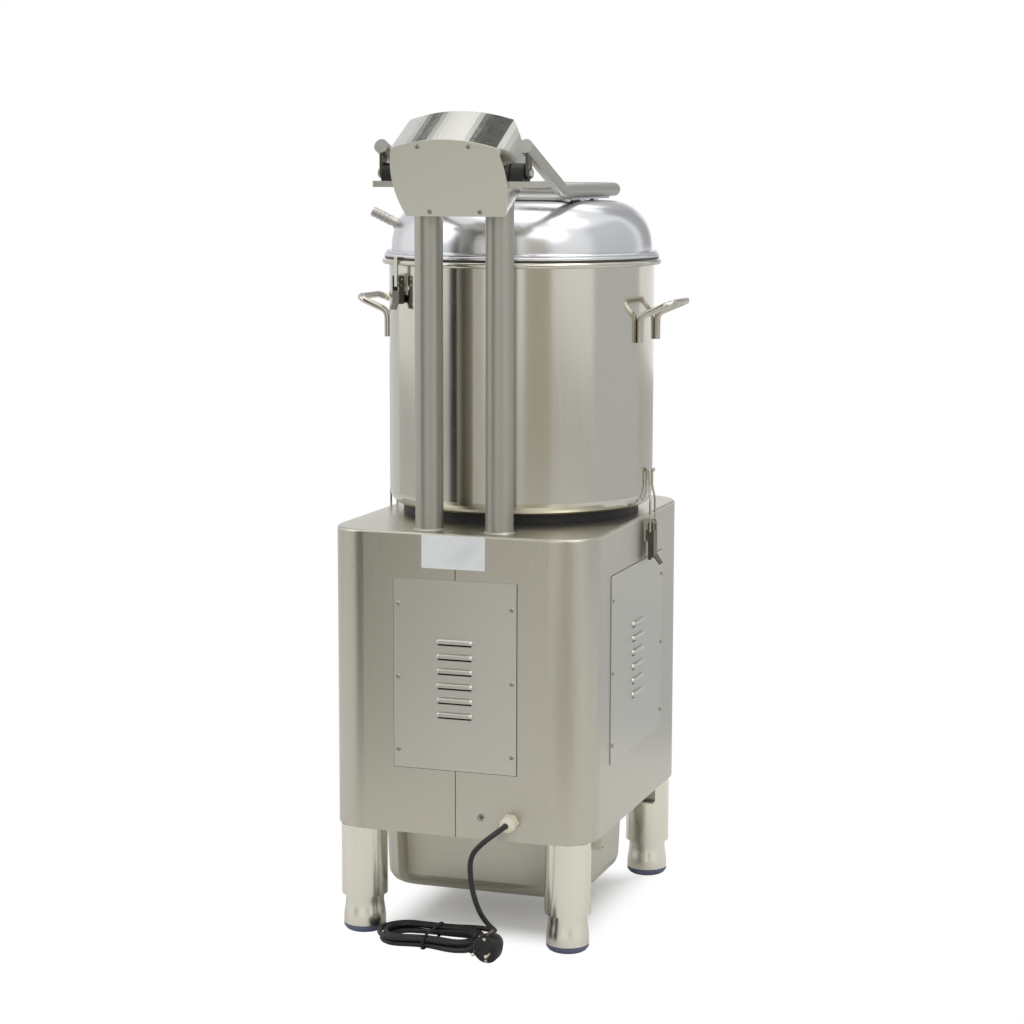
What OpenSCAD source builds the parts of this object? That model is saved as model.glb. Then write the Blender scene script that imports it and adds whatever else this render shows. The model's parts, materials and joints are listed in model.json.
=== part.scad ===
// Electric potato peeler: a drum with a turning abrasive floor on a sheet steel cabinet,
// a hinged lid with a tubular arm, a tilted control head on two columns, and a waste tray.
// Millimetres, +Z up. The origin is on the floor under the middle of the machine.
// The operator stands on the -Y side, and the access panel with the mains lead faces +Y.

/* [Cabinet] */
// Width of the cabinet
body_w = 375; // [340:5:420]
// Depth of the cabinet
body_d = 475; // [450:5:520]
// Height of the cabinet shell
body_h = 413.5; // [380:0.5:480]
// Height of the cabinet's lower edge above the floor
stand_h = 153.5; // [145:0.5:190]
// Radius of the four upright corners
body_r = 56; // [45:1:62]
// Radius of the bend along the top edge
top_bend = 4; // [3:0.5:8]
// Thickness of the cabinet sheet
sheet = 1.5; // [1:0.1:2.5]
// Width of the lip turned in along the lower edge
lip_w = 14; // [10:1:20]
// Thickness of the base plate that lies on the lip
base_t = 2; // [1.5:0.5:4]

/* [Access panels] */
// Width of the rear panel
panel_w = 175; // [150:5:200]
// Width of each side panel
side_panel_w = 256; // [200:2:280]
// Height of the three panels
panel_h = 260; // [240:5:290]
// Height of the panels' lower edge above the cabinet's lower edge
panel_low = 91.5; // [70:0.5:110]
// Distance of the side panels' middle behind the cabinet's middle
side_panel_y = 8.5; // [0:0.5:20]
// Thickness of the panel sheet
panel_t = 1.2; // [1:0.1:2]
// Distance of the screws from the panel's upright edges
screw_inset = 6.5; // [5:0.5:10]
// Height of the lowest screws above the panel's lower edge
screw_low = 25; // [15:1:40]
// Height from one screw to the next
screw_pitch = 100; // [80:5:105]
// Radius of a screw head
screw_head_r = 3.6; // [2.5:0.1:4.5]
// Height of a screw head
screw_head_h = 1.8; // [1:0.1:3]
// Width of a louvre, over its round ends
louvre_w = 54; // [30:2:80]
// Height from one louvre to the next
louvre_pitch = 20; // [14:1:26]
// Number of louvres in a panel
louvre_count = 6; // [3:1:8]
// Radius of a louvre's hood
louvre_r = 5.5; // [4:0.5:7]
// Distance that a louvre stands out of its panel
louvre_out = 4.4; // [3:0.2:6]

/* [Legs and feet] */
// Radius of a leg tube
leg_r = 31.75; // [25:0.25:32]
// Wall of a leg tube
leg_wall = 1.5; // [1:0.25:3]
// Distance of a leg's middle inside the cabinet's sides
leg_inset = 39.5; // [36:0.5:46]
// Height of a leg tube's lower end above the floor
leg_low = 52; // [48:1:70]
// Radius of a foot's round stem
stem_r = 26.5; // [20:0.5:27]
// Radius of the wide part of a foot
foot_r = 29.2; // [28:0.2:31]
// Height of the wide part's top above the floor
foot_h = 28; // [24:1:34]
// Width over the flats of the foot's spanner hexagon
foot_flats = 55; // [52:1:56]
// Height of the plastic pad under a foot
pad_h = 9; // [6:0.5:12]
// Distance that a foot can be wound out
foot_travel = 25; // [10:1:30]

/* [Waste tray] */
// Length of the tray over its rim, sideways
tray_w = 325; // [300:5:340]
// Width of the tray over its rim, front to back
tray_d = 265; // [250:5:275]
// Depth of the tray
tray_h = 89; // [60:1:95]
// Thickness of the tray sheet
tray_t = 1; // [0.8:0.1:1.5]
// Width of the tray's rim
tray_rim = 14; // [10:1:20]
// Distance of the tray's middle behind the machine's middle
tray_y = 28; // [24:1:30]
// Height of a tray runner
runner_h = 21.5; // [18:0.5:30]
// Width of a runner's two flanges
runner_w = 12; // [10:1:12]
// Thickness of the runners
runner_t = 2; // [1.5:0.5:3]
// Distance that the tray can be pulled out
tray_travel = 300; // [200:10:330]

/* [Drum] */
// Distance of the drum's wall inside the cabinet's sides
drum_inset = 0; // [0:0.5:6]
// Distance of the drum's axis in front of the machine's middle
drum_y = 40; // [35:1:45]
// Gap between the cabinet's top and the drum
drum_gap = 12; // [10:0.5:16]
// Height of the drum
drum_h = 345.3; // [320:0.1:380]
// Thickness of the drum wall
drum_t = 1.5; // [1.2:0.1:3]
// Distance that the rolled rim stands out of the wall
rim_out = 10; // [9:0.5:12]
// Height of the rolled rim
rim_h = 8; // [6:0.5:10]
// Radius of a handle's rod
handle_rod_r = 4.2; // [3:0.1:5]
// Distance between a handle's two legs
handle_span = 86; // [70:1:110]
// Distance that a handle stands out from the drum
handle_out = 53; // [40:1:60]
// Height that a handle rises over its bend
handle_rise = 26; // [15:1:35]
// Height of the handles' lower ends above the drum's floor
handle_low = 232; // [200:1:250]
// Length of a handle's upright legs
handle_leg = 26; // [18:1:30]

/* [Discharge door] */
// Width of the discharge opening
chute_w = 140; // [110:5:150]
// Height of the discharge opening
chute_h = 120; // [90:5:140]
// Height of the opening above the drum's floor
chute_low = 38; // [34:1:50]
// Distance that the chute stands out in front of the drum
chute_out = 31; // [28:1:40]
// Thickness of the chute and spout sheet
chute_t = 2; // [1.5:0.5:3]
// Thickness of the door plate
door_t = 3.5; // [3:0.5:6]
// Distance that the door reaches past the opening
door_lap = 18; // [16:1:22]
// Angle through which the door opens
door_angle = 110; // [90:5:120]

/* [Lid] */
// Distance of the lid's flange inside the rim
lid_inset = 3; // [2.5:0.5:6]
// Height of the lid's flange band
lid_band = 10; // [7:0.5:12]
// Width of the lid's flange
flange_w = 10.5; // [9:0.5:16]
// Height of the dome above its flange
dome_h = 68.5; // [55:0.5:80]
// Width of the dome's curved edge
dome_edge = 66; // [58:1:84]
// Thickness of the lid sheet
lid_t = 2; // [1.5:0.1:3]
// Radius of the arm's tube
arm_r = 9.5; // [8:0.25:11]
// Wall of the arm's tube
arm_wall = 1.5; // [1:0.25:2.5]
// Distance of each arm tube from the middle
arm_x = 100; // [96:1:104]
// Height of the arm's tube above the dome's flat top, at its middle
arm_over = 14.5; // [14:0.5:18]
// Distance of the arm's rear end behind the hinge
arm_back = 10; // [6:0.5:14]
// Height of the arm's rear end above the hinge
arm_up = 35; // [32:0.5:38]
// Distance of the arm's bend in front of the hinge
arm_bend = 150; // [130:1:160]
// Distance of the arm's front tube in front of the drum's axis
arm_front = 169; // [150:1:175]

/* [Columns and hinge] */
// Radius of a column
column_r = 19; // [16:0.25:22]
// Wall of a column
column_wall = 1.5; // [1:0.25:3]
// Distance of each column from the middle
column_x = 50; // [45:1:54]
// Distance of the columns' middle inside the cabinet's rear face
column_inset = 37.5; // [34:0.5:41]
// Height of the columns above the cabinet
column_h = 458.5; // [450:0.5:500]
// Width of the hinge bracket
bracket_w = 219; // [216:1:224]
// Thickness of the hinge bracket
bracket_t = 8; // [6:0.5:9]
// Distance of the bracket's rear edge behind the columns' middle
bracket_over = 50; // [46:1:52]
// Distance of the hinge axis behind the columns' middle
hinge_over = 34; // [30:1:36]
// Height of the hinge axis above the bracket
hinge_up = 10.5; // [10:0.5:12]
// Radius of the hinge pins
pin_r = 4; // [3:0.25:5]
// Angle through which the lid opens
lid_angle = 80; // [60:5:85]

/* [Control head] */
// Angle at which the head leans back
head_tilt = 28; // [25:1:30]
// Depth of the head, from the control face to the rear plate
head_d = 80; // [72:1:86]
// Height of the head's shoulders
head_h = 99.5; // [95:0.5:105]
// Height that the crown rises over the shoulders
crown = 12.8; // [8:0.2:16]
// Half the width of the head at its lower edge
head_foot_w = 69; // [68:0.5:72]
// Half the width of the head at its shoulders
head_top_w = 72.5; // [68:0.5:74]
// Distance that the head's sides bulge
head_bulge = 8.5; // [6:0.5:9]
// Radius of the timer knob
knob_r = 21; // [15:0.5:24]
// Height of the timer knob
knob_h = 20; // [12:1:26]
// Radius of a push button
button_r = 9.5; // [8:0.5:12]
// Travel of a push button
button_travel = 3; // [2:0.5:4]

/* [Drive] */
// Gap between the disc and the drum's wall
disc_gap = 6; // [3:0.5:14]
// Thickness of the disc at its edge
disc_t = 10; // [8:0.5:14]
// Height of the two waves on the disc
wave_h = 16; // [10:1:22]
// Radius of the spindle
spindle_r = 12.5; // [10:0.5:15]
// Radius of the large pulley
big_pulley_r = 84; // [70:1:88]
// Radius of the motor pulley
small_pulley_r = 28; // [24:1:32]
// Distance between the motor's shaft and the spindle
belt_centres = 160; // [155:1:164]
// Radius of the motor's housing
motor_r = 66; // [55:1:70]
// Length of the motor's housing
motor_h = 165; // [140:5:170]

/* [Toggle latches] */
// Width of a latch base
latch_w = 24; // [20:1:28]
// Distance from the lever's pivot to the bail's pivot
latch_throw = 10; // [8:0.5:12]
// Length of a lever below its pivot
lever_h = 50; // [40:1:58]
// Length of a bail from its pivot to the bar
bail_h = 88; // [80:1:95]
// Radius of a bail's wire
bail_r = 1.4; // [1:0.1:1.8]

/* [Mains lead] */
// Diameter of the cable
cable_d = 7.2; // [5:0.1:8.5]
// Radius of the cable gland's nut
gland_r = 12; // [10:0.5:14]
// Length of the cable gland outside the cabinet
gland_out = 24.5; // [18:0.5:28]
// Radius of the plug
plug_r = 18.8; // [16:0.2:20]
// Length of the plug's pins
plug_pin_l = 19; // [17:0.5:20]
// Radius of the plug's pins
plug_pin_r = 2.4; // [2:0.1:2.5]

/* [Hidden] */
$fn = 96;

// General clearances
over = 1;             // overrun of a cut
seat = 0.05;          // gap of a welded or bolted seat on a curved face
run = 0.05;           // radial clearance of a pin or shaft in its hole
clear = 0.4;          // gap between pieces that pass each other

// Half sizes, and places that follow them
hx = body_w / 2;
hy = body_d / 2;
leg_x = hx - leg_inset;
leg_y = hy - leg_inset;
column_y = hy - column_inset;
bracket_back = column_y + bracket_over;
hinge_y = column_y + hinge_over;

// Radii of the drum, the lid and the disc
drum_r = hx - drum_inset;
rim_r = drum_r + rim_out;
lid_r = rim_r - lid_inset;
dome_r = lid_r - flange_w;
dome_flat_r = dome_r - dome_edge;
disc_r = drum_r - drum_t - disc_gap;

// Levels, from the floor up
body_z1 = stand_h + body_h;
drum_z0 = body_z1 + drum_gap;
drum_z1 = drum_z0 + drum_h;
column_z1 = body_z1 + column_h;
bracket_z1 = column_z1 + bracket_t;
hinge_z = bracket_z1 + hinge_up;

// Lid levels: the gasket hangs under the flange, just over the rim
gasket_t = 1.6;
lid_z0 = drum_z1 + clear + gasket_t;
dome_z0 = lid_z0 + lid_band;
dome_z1 = dome_z0 + dome_h;
dome_power = 2.25;
arm_z = dome_z1 + arm_over;
plate_gap = 2.5;
plate_d = 178;

// The head's lower rear edge, behind the columns and below their tops, and its sheet
head_over = 33.6;
head_drop = 37.9;
head_y0 = column_y + head_over;
head_z0 = column_z1 - head_drop;
head_skin = 1.5;

// Panels
panel_z0 = stand_h + panel_low;
panel_lap = 14;
screw_rows = [for (k = [0:2]) panel_z0 + screw_low + k * screw_pitch];
louvre_z = panel_z0 + screw_low + screw_pitch;
louvre_end_inset = 3;

// Points of a rounded rectangle's four corners
corner_signs = [[1, 1], [-1, 1], [-1, -1], [1, -1]];

module rounded_rect(w, d, r) {
    union() {
        for (s = corner_signs) {
            translate([s[0] * (w / 2 - r), s[1] * (d / 2 - r)]) circle(r = r);
        }
        square([w, d - 2 * r], center = true);
        square([w - 2 * r, d], center = true);
    }
}

// Edge profile of a block with a rounded top edge, from its middle (x = 0) to reach
function edge_profile(reach, h, b) = concat(
    [[0, 0], [reach, 0]],
    [for (a = [0:22.5:90]) [reach - b + b * cos(a), h - b + b * sin(a)]],
    [[0, h]]
);

// A block with round upright corners and a rounded top edge
module soft_block(w, d, h, r, b) {
    for (s = corner_signs) {
        translate([s[0] * (w / 2 - r), s[1] * (d / 2 - r), 0])
            rotate_extrude() polygon(edge_profile(r, h, b));
    }
    for (m = [0, 1]) {
        mirror([m, 0, 0]) translate([0, d / 2 - r, 0]) rotate([90, 0, 0])
            linear_extrude(d - 2 * r) polygon(edge_profile(w / 2, h, b));
        mirror([0, m, 0]) translate([-(w / 2 - r), 0, 0]) rotate([90, 0, 90])
            linear_extrude(w - 2 * r) polygon(edge_profile(d / 2, h, b));
    }
}

// A round bar from p to q
module bar(p, q, r) {
    v = q - p;
    l = norm(v);
    translate(p) rotate([0, acos(v[2] / l), atan2(v[1], v[0])]) cylinder(r = r, h = l);
}

// A bent rod through a list of points, with ball corners a little thicker than the rod
ball_share = 1.03;
module rod(points, r) {
    for (i = [0:len(points) - 2]) bar(points[i], points[i + 1], r);
    for (i = [1:len(points) - 2]) translate(points[i]) sphere(r = ball_share * r);
}

// Children on both sides of the machine, the second as a mirror image
module both_sides() {
    children();
    mirror([1, 0, 0]) children();
}

// Children in the frame of a panel's outer face: X along its width, Z up, -Y out of the machine
module on_rear_face() { translate([0, hy, 0]) rotate([0, 0, 180]) children(); }
module on_side_faces() { both_sides() translate([-hx, side_panel_y, 0]) rotate([0, 0, -90]) children(); }

// Cabinet

module window(w) {
    translate([-w / 2 + panel_lap, -over, panel_z0 + panel_lap])
        cube([w - 2 * panel_lap, sheet + 2 * over, panel_h - 2 * panel_lap]);
}

module cabinet_shell() {
    color([0.66, 0.65, 0.60]) difference() {
        translate([0, 0, stand_h]) difference() {
            soft_block(body_w, body_d, body_h, body_r, top_bend);
            translate([0, 0, sheet])
                soft_block(body_w - 2 * sheet, body_d - 2 * sheet, body_h - 2 * sheet,
                    body_r - sheet, top_bend - sheet);
            translate([0, 0, -over]) linear_extrude(sheet + 2 * over)
                rounded_rect(body_w - 2 * lip_w, body_d - 2 * lip_w, body_r - lip_w);
        }
        on_rear_face() window(panel_w);
        on_side_faces() window(side_panel_w);
        translate([0, -drum_y, body_z1 - sheet - over]) cylinder(r = housing_r + clear, h = sheet + 2 * over);
        duct_place() translate([0, 0, body_z1 - sheet - over]) cylinder(r = duct_r + duct_room, h = sheet + 2 * over);
        gland_place() rotate([90, 0, 0]) translate([0, 0, -over]) cylinder(r = gland_thread_r + clear, h = sheet + 2 * over);
        both_sides() translate([column_x, column_y, body_z1 - sheet - over])
            cylinder(r = column_r - column_wall, h = sheet + 2 * over);
        on_rear_face() panel_screw_places(panel_w) screw_hole(screw_r);
        on_side_faces() panel_screw_places(side_panel_w) screw_hole(screw_r);
        translate([-stud_x, hy, stud_z]) screw_hole(stud_r);
    }
}

module screw_hole(r) { rotate([90, 0, 0]) cylinder(r = r, h = 4 * sheet, center = true, $fn = 24); }

module base_plate() {
    color([0.60, 0.60, 0.57]) difference() {
        translate([0, 0, stand_h + sheet]) linear_extrude(base_t)
            rounded_rect(body_w - 2 * (sheet + clear), body_d - 2 * (sheet + clear), body_r - sheet - clear);
        duct_place() translate([0, 0, stand_h]) cylinder(r = duct_r + clear, h = sheet + base_t + over);
        for (s = corner_signs) {
            translate([s[0] * leg_x, s[1] * leg_y, stand_h])
                cylinder(r = leg_stud_r + run, h = sheet + base_t + over);
        }
    }
}

// Access panels and their screws

module louvre_capsule(r) {
    half = louvre_w / 2 - louvre_r;
    translate([-half, 0, 0]) rotate([0, 90, 0]) cylinder(r = r, h = 2 * half);
    for (s = [-1, 1]) translate([s * half, 0, 0]) sphere(r = r);
}

// Hoods stand out towards -Y and are open along their lower side
module louvre_hood() {
    sink = louvre_r - louvre_out;
    difference() {
        translate([0, sink, 0]) louvre_capsule(louvre_r);
        translate([0, sink, 0]) louvre_capsule(louvre_r - panel_t);
        translate([-louvre_w, 0, -louvre_w]) cube([2 * louvre_w, louvre_w, 2 * louvre_w]);
        translate([-louvre_w, -louvre_w, -louvre_w - sink]) cube([2 * louvre_w, 2 * louvre_w, louvre_w]);
    }
}

module louvre_places() {
    for (k = [0:louvre_count - 1]) {
        translate([0, 0, louvre_z + (k - (louvre_count - 1) / 2) * louvre_pitch]) children();
    }
}

module panel(w) {
    slot_w = louvre_w - 2 * louvre_end_inset;
    difference() {
        translate([-w / 2, -panel_t, panel_z0]) cube([w, panel_t, panel_h]);
        louvre_places() translate([-slot_w / 2, -panel_t - over, -louvre_r + panel_t])
            cube([slot_w, panel_t + 2 * over, louvre_r - panel_t]);
        panel_screw_places(w) translate([0, over, 0]) rotate([90, 0, 0])
            cylinder(r = screw_r, h = panel_t + 2 * over, $fn = 24);
    }
    louvre_places() translate([0, -panel_t, 0]) louvre_hood();
}

module panel_screw_places(w) {
    for (z = screw_rows, s = [-1, 1]) translate([s * (w / 2 - screw_inset), 0, z]) children();
}

screw_r = 1.9;
screw_shank = 8;

// A dome-headed screw whose head stands out towards -Y, from the plane y = 0
module screw() {
    bulge = (screw_head_r * screw_head_r + screw_head_h * screw_head_h) / (2 * screw_head_h);
    rotate([90, 0, 0]) difference() {
        intersection() {
            cylinder(r = screw_head_r, h = screw_head_h, $fn = 32);
            translate([0, 0, screw_head_h - bulge]) sphere(r = bulge, $fn = 48);
        }
        for (a = [0, 90]) rotate([0, 0, a]) translate([0, 0, screw_head_h])
            cube([screw_head_r, screw_head_r / 6, screw_head_h], center = true);
    }
    rotate([-90, 0, 0]) cylinder(r = screw_r - run, h = screw_shank, $fn = 24);
}

module rear_panel() { color([0.66, 0.65, 0.60]) on_rear_face() panel(panel_w); }
module side_panels() { color([0.66, 0.65, 0.60]) on_side_faces() panel(side_panel_w); }

stud_r = 2.5;
stud_free = 4;
stud_root_r = 2.2;
stud_x = 36.5;
stud_z = stand_h + 29.5;

module screws() {
    color([0.72, 0.71, 0.68]) {
        on_rear_face() panel_screw_places(panel_w) translate([0, -panel_t, 0]) screw();
        on_side_faces() panel_screw_places(side_panel_w) translate([0, -panel_t, 0]) screw();
        in_head() head_screw_places() rotate([0, 0, 180]) screw();
        translate([-stud_x, hy, stud_z]) rotate([-90, 0, 0]) {
            translate([0, 0, -sheet - stud_r]) cylinder(r = stud_root_r, h = sheet + 2 * stud_r + clear, $fn = 32);
            translate([0, 0, stud_r + clear]) cylinder(r = stud_r, h = stud_free, $fn = 32);
            translate([0, 0, seat]) cylinder(r = 2 * stud_r, h = stud_r - seat, $fn = 6);
        }
    }
}

// Legs and adjustable feet

leg_stud_r = 6;
leg_stud_h = 12;
leg_cap = 1.5;
leg_cap_inset = 2.5;
insert_h = 14;
stem_h = 36;

module leg() {
    top = stand_h - leg_cap;
    difference() {
        translate([0, 0, leg_low]) cylinder(r = leg_r, h = top - leg_low);
        translate([0, 0, leg_low + insert_h]) cylinder(r = leg_r - leg_wall, h = top - leg_low - insert_h - leg_wall);
        translate([0, 0, leg_low - over]) cylinder(r = stem_r + run, h = insert_h + 2 * over);
    }
    translate([0, 0, top]) cylinder(r = leg_r - leg_cap_inset, h = leg_cap);
    translate([0, 0, stand_h]) cylinder(r = leg_stud_r, h = leg_stud_h);
}

module legs() {
    color([0.68, 0.67, 0.63]) for (s = corner_signs) translate([s[0] * leg_x, s[1] * leg_y, 0]) leg();
}

module foot() {
    taper = foot_r - stem_r;
    translate([0, 0, foot_h]) cylinder(r1 = foot_r, r2 = stem_r, h = 2 * taper);
    translate([0, 0, foot_h]) cylinder(r = stem_r, h = leg_low - foot_h + stem_h);
    intersection() {
        translate([0, 0, pad_h]) cylinder(r = foot_r, h = foot_h - pad_h);
        translate([0, 0, pad_h]) cylinder(r = foot_flats / sqrt(3), h = foot_h - pad_h, $fn = 6);
    }
}

module pad() {
    rotate_extrude() polygon([
        [0, 0], [foot_r - pad_h * 2 / 3, 0], [foot_r - pad_h / 3, pad_h / 5],
        [foot_r, pad_h * 2 / 3], [foot_r, pad_h], [0, pad_h]
    ]);
}

module foot_at(sx, sy) { color([0.68, 0.67, 0.63]) translate([sx * leg_x, sy * leg_y, 0]) foot(); }
module pad_at(sx, sy) { color([0.33, 0.35, 0.45]) translate([sx * leg_x, sy * leg_y, 0]) pad(); }

// Waste tray, its runners and the duct above it

runner_z0 = stand_h - runner_h;
runner_gap = 2;
tray_lift = 0.5;
tray_z1 = runner_z0 + runner_t + tray_lift + tray_t;
tray_z0 = tray_z1 - tray_h;
runner_end = 2.5;
tray_corner = 50;
tray_draft_share = 0.03;
tray_edge_r = 20;

module tray_runners() {
    reach = tray_d / 2 + runner_gap;
    color([0.60, 0.59, 0.55]) for (s = [-1, 1]) {
        translate([-(hx - runner_end), tray_y, 0]) rotate([90, 0, 90])
            linear_extrude(2 * (hx - runner_end)) scale([s, 1]) translate([reach, runner_z0]) difference() {
                translate([runner_t - runner_w, 0]) square([runner_w, runner_h]);
                translate([runner_t - runner_w - over, runner_t]) square([runner_w - runner_t + over, runner_h - 2 * runner_t]);
            }
    }
}

// Rounded rectangle rings of the tray: inset from the rim, corner radius, height
tray_levels = [
    for (a = [0:15:90]) [tray_rim + tray_draft_share * tray_h + tray_edge_r * (1 - sin(a)),
        tray_z0 + tray_edge_r - tray_edge_r * cos(a)],
    [tray_rim, tray_z1]
];

function ring_points(w, d, r, z) = [
    for (s = corner_signs, k = [0:4])
        let (start = s[0] > 0 ? (s[1] > 0 ? 0 : 270) : (s[1] > 0 ? 90 : 180), a = start + 22.5 * k)
            [s[0] * (w / 2 - r) + r * cos(a), s[1] * (d / 2 - r) + r * sin(a), z]
];

// A closed skin through rings that all have the same number of points
module skin(rings) {
    n = len(rings[0]);
    m = len(rings);
    points = [for (g = rings) each g];
    sides = [for (i = [0:m - 2], k = [0:n - 1]) let (a = i * n + k, b = i * n + (k + 1) % n)
        each [[a, b, b + n], [a, b + n, a + n]]];
    low = [for (k = [1:n - 2]) [0, k + 1, k]];
    high = [for (k = [1:n - 2]) [(m - 1) * n, (m - 1) * n + k, (m - 1) * n + k + 1]];
    polyhedron(points = points, faces = concat([for (f = sides) [f[0], f[2], f[1]]],
        [for (f = low) [f[0], f[2], f[1]]], [for (f = high) [f[0], f[2], f[1]]]));
}

module waste_tray() {
    color([0.68, 0.67, 0.62]) {
        difference() {
            union() {
                translate([0, tray_y, 0]) skin([for (l = tray_levels)
                    ring_points(tray_w - 2 * l[0], tray_d - 2 * l[0], tray_corner - l[0] / 2, l[1])]);
                translate([0, tray_y, tray_z1 - tray_t]) linear_extrude(tray_t) rounded_rect(tray_w, tray_d, tray_corner);
            }
            translate([0, tray_y, 0]) skin([for (l = tray_levels)
                ring_points(tray_w - 2 * (l[0] + tray_t), tray_d - 2 * (l[0] + tray_t),
                    tray_corner - l[0] / 2 - tray_t, l[1] + (l[1] > tray_z1 - tray_t ? over : tray_t))]);
        }
    }
}

duct_r = 30;
duct_t = 1.5;
duct_x = 116;
duct_y = 52;
duct_low = 2;
duct_room = 14;

module duct_place() { translate([-duct_x, -duct_y, 0]) children(); }

module waste_duct() {
    low = stand_h + duct_low;
    color([0.62, 0.61, 0.58]) duct_place() difference() {
        translate([0, 0, low]) cylinder(r = duct_r, h = drum_z0 - low);
        translate([0, 0, low - over]) cylinder(r = duct_r - duct_t, h = drum_z0 - low + 2 * over);
    }
}

// Cable gland

gland_x = 80;
gland_z = stand_h + 27.5;
gland_thread_r = 9;
gland_flange = 7;

module gland_place() { translate([-gland_x, hy, gland_z]) children(); }

module cable_gland() {
    tip = gland_r * 0.8;
    color([0.88, 0.86, 0.78]) gland_place() rotate([-90, 0, 0]) difference() {
        union() {
            cylinder(r = gland_r, h = gland_flange, $fn = 6);
            translate([0, 0, gland_flange]) cylinder(r = gland_r, h = gland_out / 3);
            translate([0, 0, gland_flange + gland_out / 3])
                cylinder(r1 = gland_r, r2 = tip, h = gland_out * 2 / 3 - gland_flange);
            translate([0, 0, -sheet - gland_flange]) cylinder(r = gland_thread_r, h = sheet + gland_flange);
        }
        translate([0, 0, -sheet - gland_flange - over])
            cylinder(r = cable_d / 2 - clear, h = gland_out - gland_flange + sheet + over);
    }
}

// Drum

drum_floor_r = drum_r - 6;
drum_corner = 18;
hub_r = 34;
crease = 1.2;

module at_drum() { translate([0, -drum_y, 0]) children(); }

// Outer outline of the drum, thinned by t towards the axis
function drum_outline(t) = concat(
    [for (a = [0:15:90]) [drum_floor_r - drum_corner / 2 + (drum_corner / 2 + 6 - t) * sin(a),
        drum_z0 + drum_corner - (drum_corner - t) * cos(a)]]
);

rim_bead = rim_h / 2;

module drum_wall() {
    low = drum_z0 + drum_corner + seat;
    translate([0, 0, low]) difference() {
        cylinder(r = drum_r, h = drum_z1 - low);
        translate([0, 0, -over]) cylinder(r = drum_r - drum_t, h = drum_z1 - low + 2 * over);
    }
}

module drum_floor() {
    rotate_extrude() difference() {
        polygon(concat([[0, drum_z0]], drum_outline(0), [[0, drum_z0 + drum_corner]]));
        polygon(concat([[0, drum_z0 + drum_t]], drum_outline(drum_t), [[drum_r - drum_t, drum_z1], [0, drum_z1]]));
    }
}

// Rolled rim: a collar round the wall, turned out over a wire bead
module drum_rim() {
    rotate_extrude() {
        translate([drum_r + seat, drum_z1 - rim_h]) square([drum_t, rim_h]);
        translate([drum_r + seat, drum_z1 - drum_t]) square([rim_out - rim_bead - seat, drum_t]);
        translate([rim_r - rim_bead, drum_z1 - rim_bead]) circle(r = rim_bead, $fn = 24);
    }
}

catch_up = 52;
catch_z = drum_z0 + catch_up;
catch_w = 9;
catch_lip = 3.5;
catch_t = 1.6;
catch_foot = 12;
bar_x = drum_r + 5;

// A hook that opens upwards, seen from the side, for the bail's bar
module catch_profile() {
    cup = 6.6;
    translate([drum_r + seat, 0]) {
        translate([0, -catch_foot]) square([catch_t, catch_foot]);
        translate([0, -catch_t]) square([cup + 2 * catch_t, catch_t]);
        translate([cup + catch_t, -catch_t]) square([catch_t, catch_lip + catch_t]);
    }
}

module drum() {
    color([0.70, 0.69, 0.64]) {
        difference() {
            at_drum() drum_wall();
            translate([-chute_w / 2, -drum_y - rim_r, drum_z0 + chute_low]) cube([chute_w, rim_r, chute_h]);
        }
        difference() {
            at_drum() drum_floor();
            at_drum() translate([0, 0, drum_z0 - over]) cylinder(r = spindle_r + clear, h = drum_t + 2 * over);
            duct_place() translate([0, 0, drum_z0 - over]) cylinder(r = duct_r + duct_room + seat, h = drum_t + 2 * over);
        }
        // Drain plate, let into the floor over the duct
        duct_place() translate([0, 0, drum_z0]) difference() {
            cylinder(r = duct_r + duct_room, h = drum_t);
            translate([0, 0, -over]) cylinder(r = duct_r - duct_t, h = drum_t + 2 * over);
        }
        at_drum() drum_rim();
    }
}

collar_inset = 19.5;
collar_r = drum_r - collar_inset;
collar_w = 12;

module drum_collar() {
    color([0.06, 0.06, 0.06]) difference() {
        at_drum() translate([0, 0, body_z1]) difference() {
            cylinder(r = collar_r, h = drum_gap);
            translate([0, 0, -over]) cylinder(r = collar_r - collar_w, h = drum_gap + 2 * over);
        }
        duct_place() translate([0, 0, body_z1 - over]) cylinder(r = duct_r + clear, h = drum_gap + 2 * over);
    }
}

// Handle on the +X side: two upright legs welded to the drum, then a loop that rises outwards
module drum_handle() {
    half = handle_span / 2;
    foot_x = sqrt(drum_r * drum_r - half * half) + handle_rod_r + seat;
    tip_x = drum_r + handle_out - handle_rod_r;
    z0 = drum_z0 + handle_low;
    z1 = z0 + handle_leg;
    knee = handle_rod_r;
    corner = 12;
    at_drum() rod([
        [foot_x, -half, z0], [foot_x, -half, z1 - knee], [foot_x + knee, -half, z1 + knee],
        [tip_x - corner, -half, z1 + handle_rise - corner / 2], [tip_x, -half + corner, z1 + handle_rise],
        [tip_x, half - corner, z1 + handle_rise], [tip_x - corner, half, z1 + handle_rise - corner / 2],
        [foot_x + knee, half, z1 + knee], [foot_x, half, z1 - knee], [foot_x, half, z0]
    ], handle_rod_r, $fn = 32);
}

module drum_handles() { color([0.72, 0.71, 0.68]) both_sides() drum_handle(); }

// Discharge chute, door and fittings, at the front of the drum

chute_y1 = drum_y + drum_r + chute_out;
chute_z0 = drum_z0 + chute_low;
gasket_h = 3;
door_y = chute_y1 + clear + gasket_h;
front_reach = head_y0 + (head_h + crown) * sin(head_tilt);
spout_drop = 10;

// A box of sheet, open at front and back, from the drum's wall to the door
module chute_frame(w, h, y0, y1) {
    translate([-w / 2, -y1, chute_z0 - (h - chute_h) / 2]) cube([w, y1 - y0, h]);
}

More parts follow.
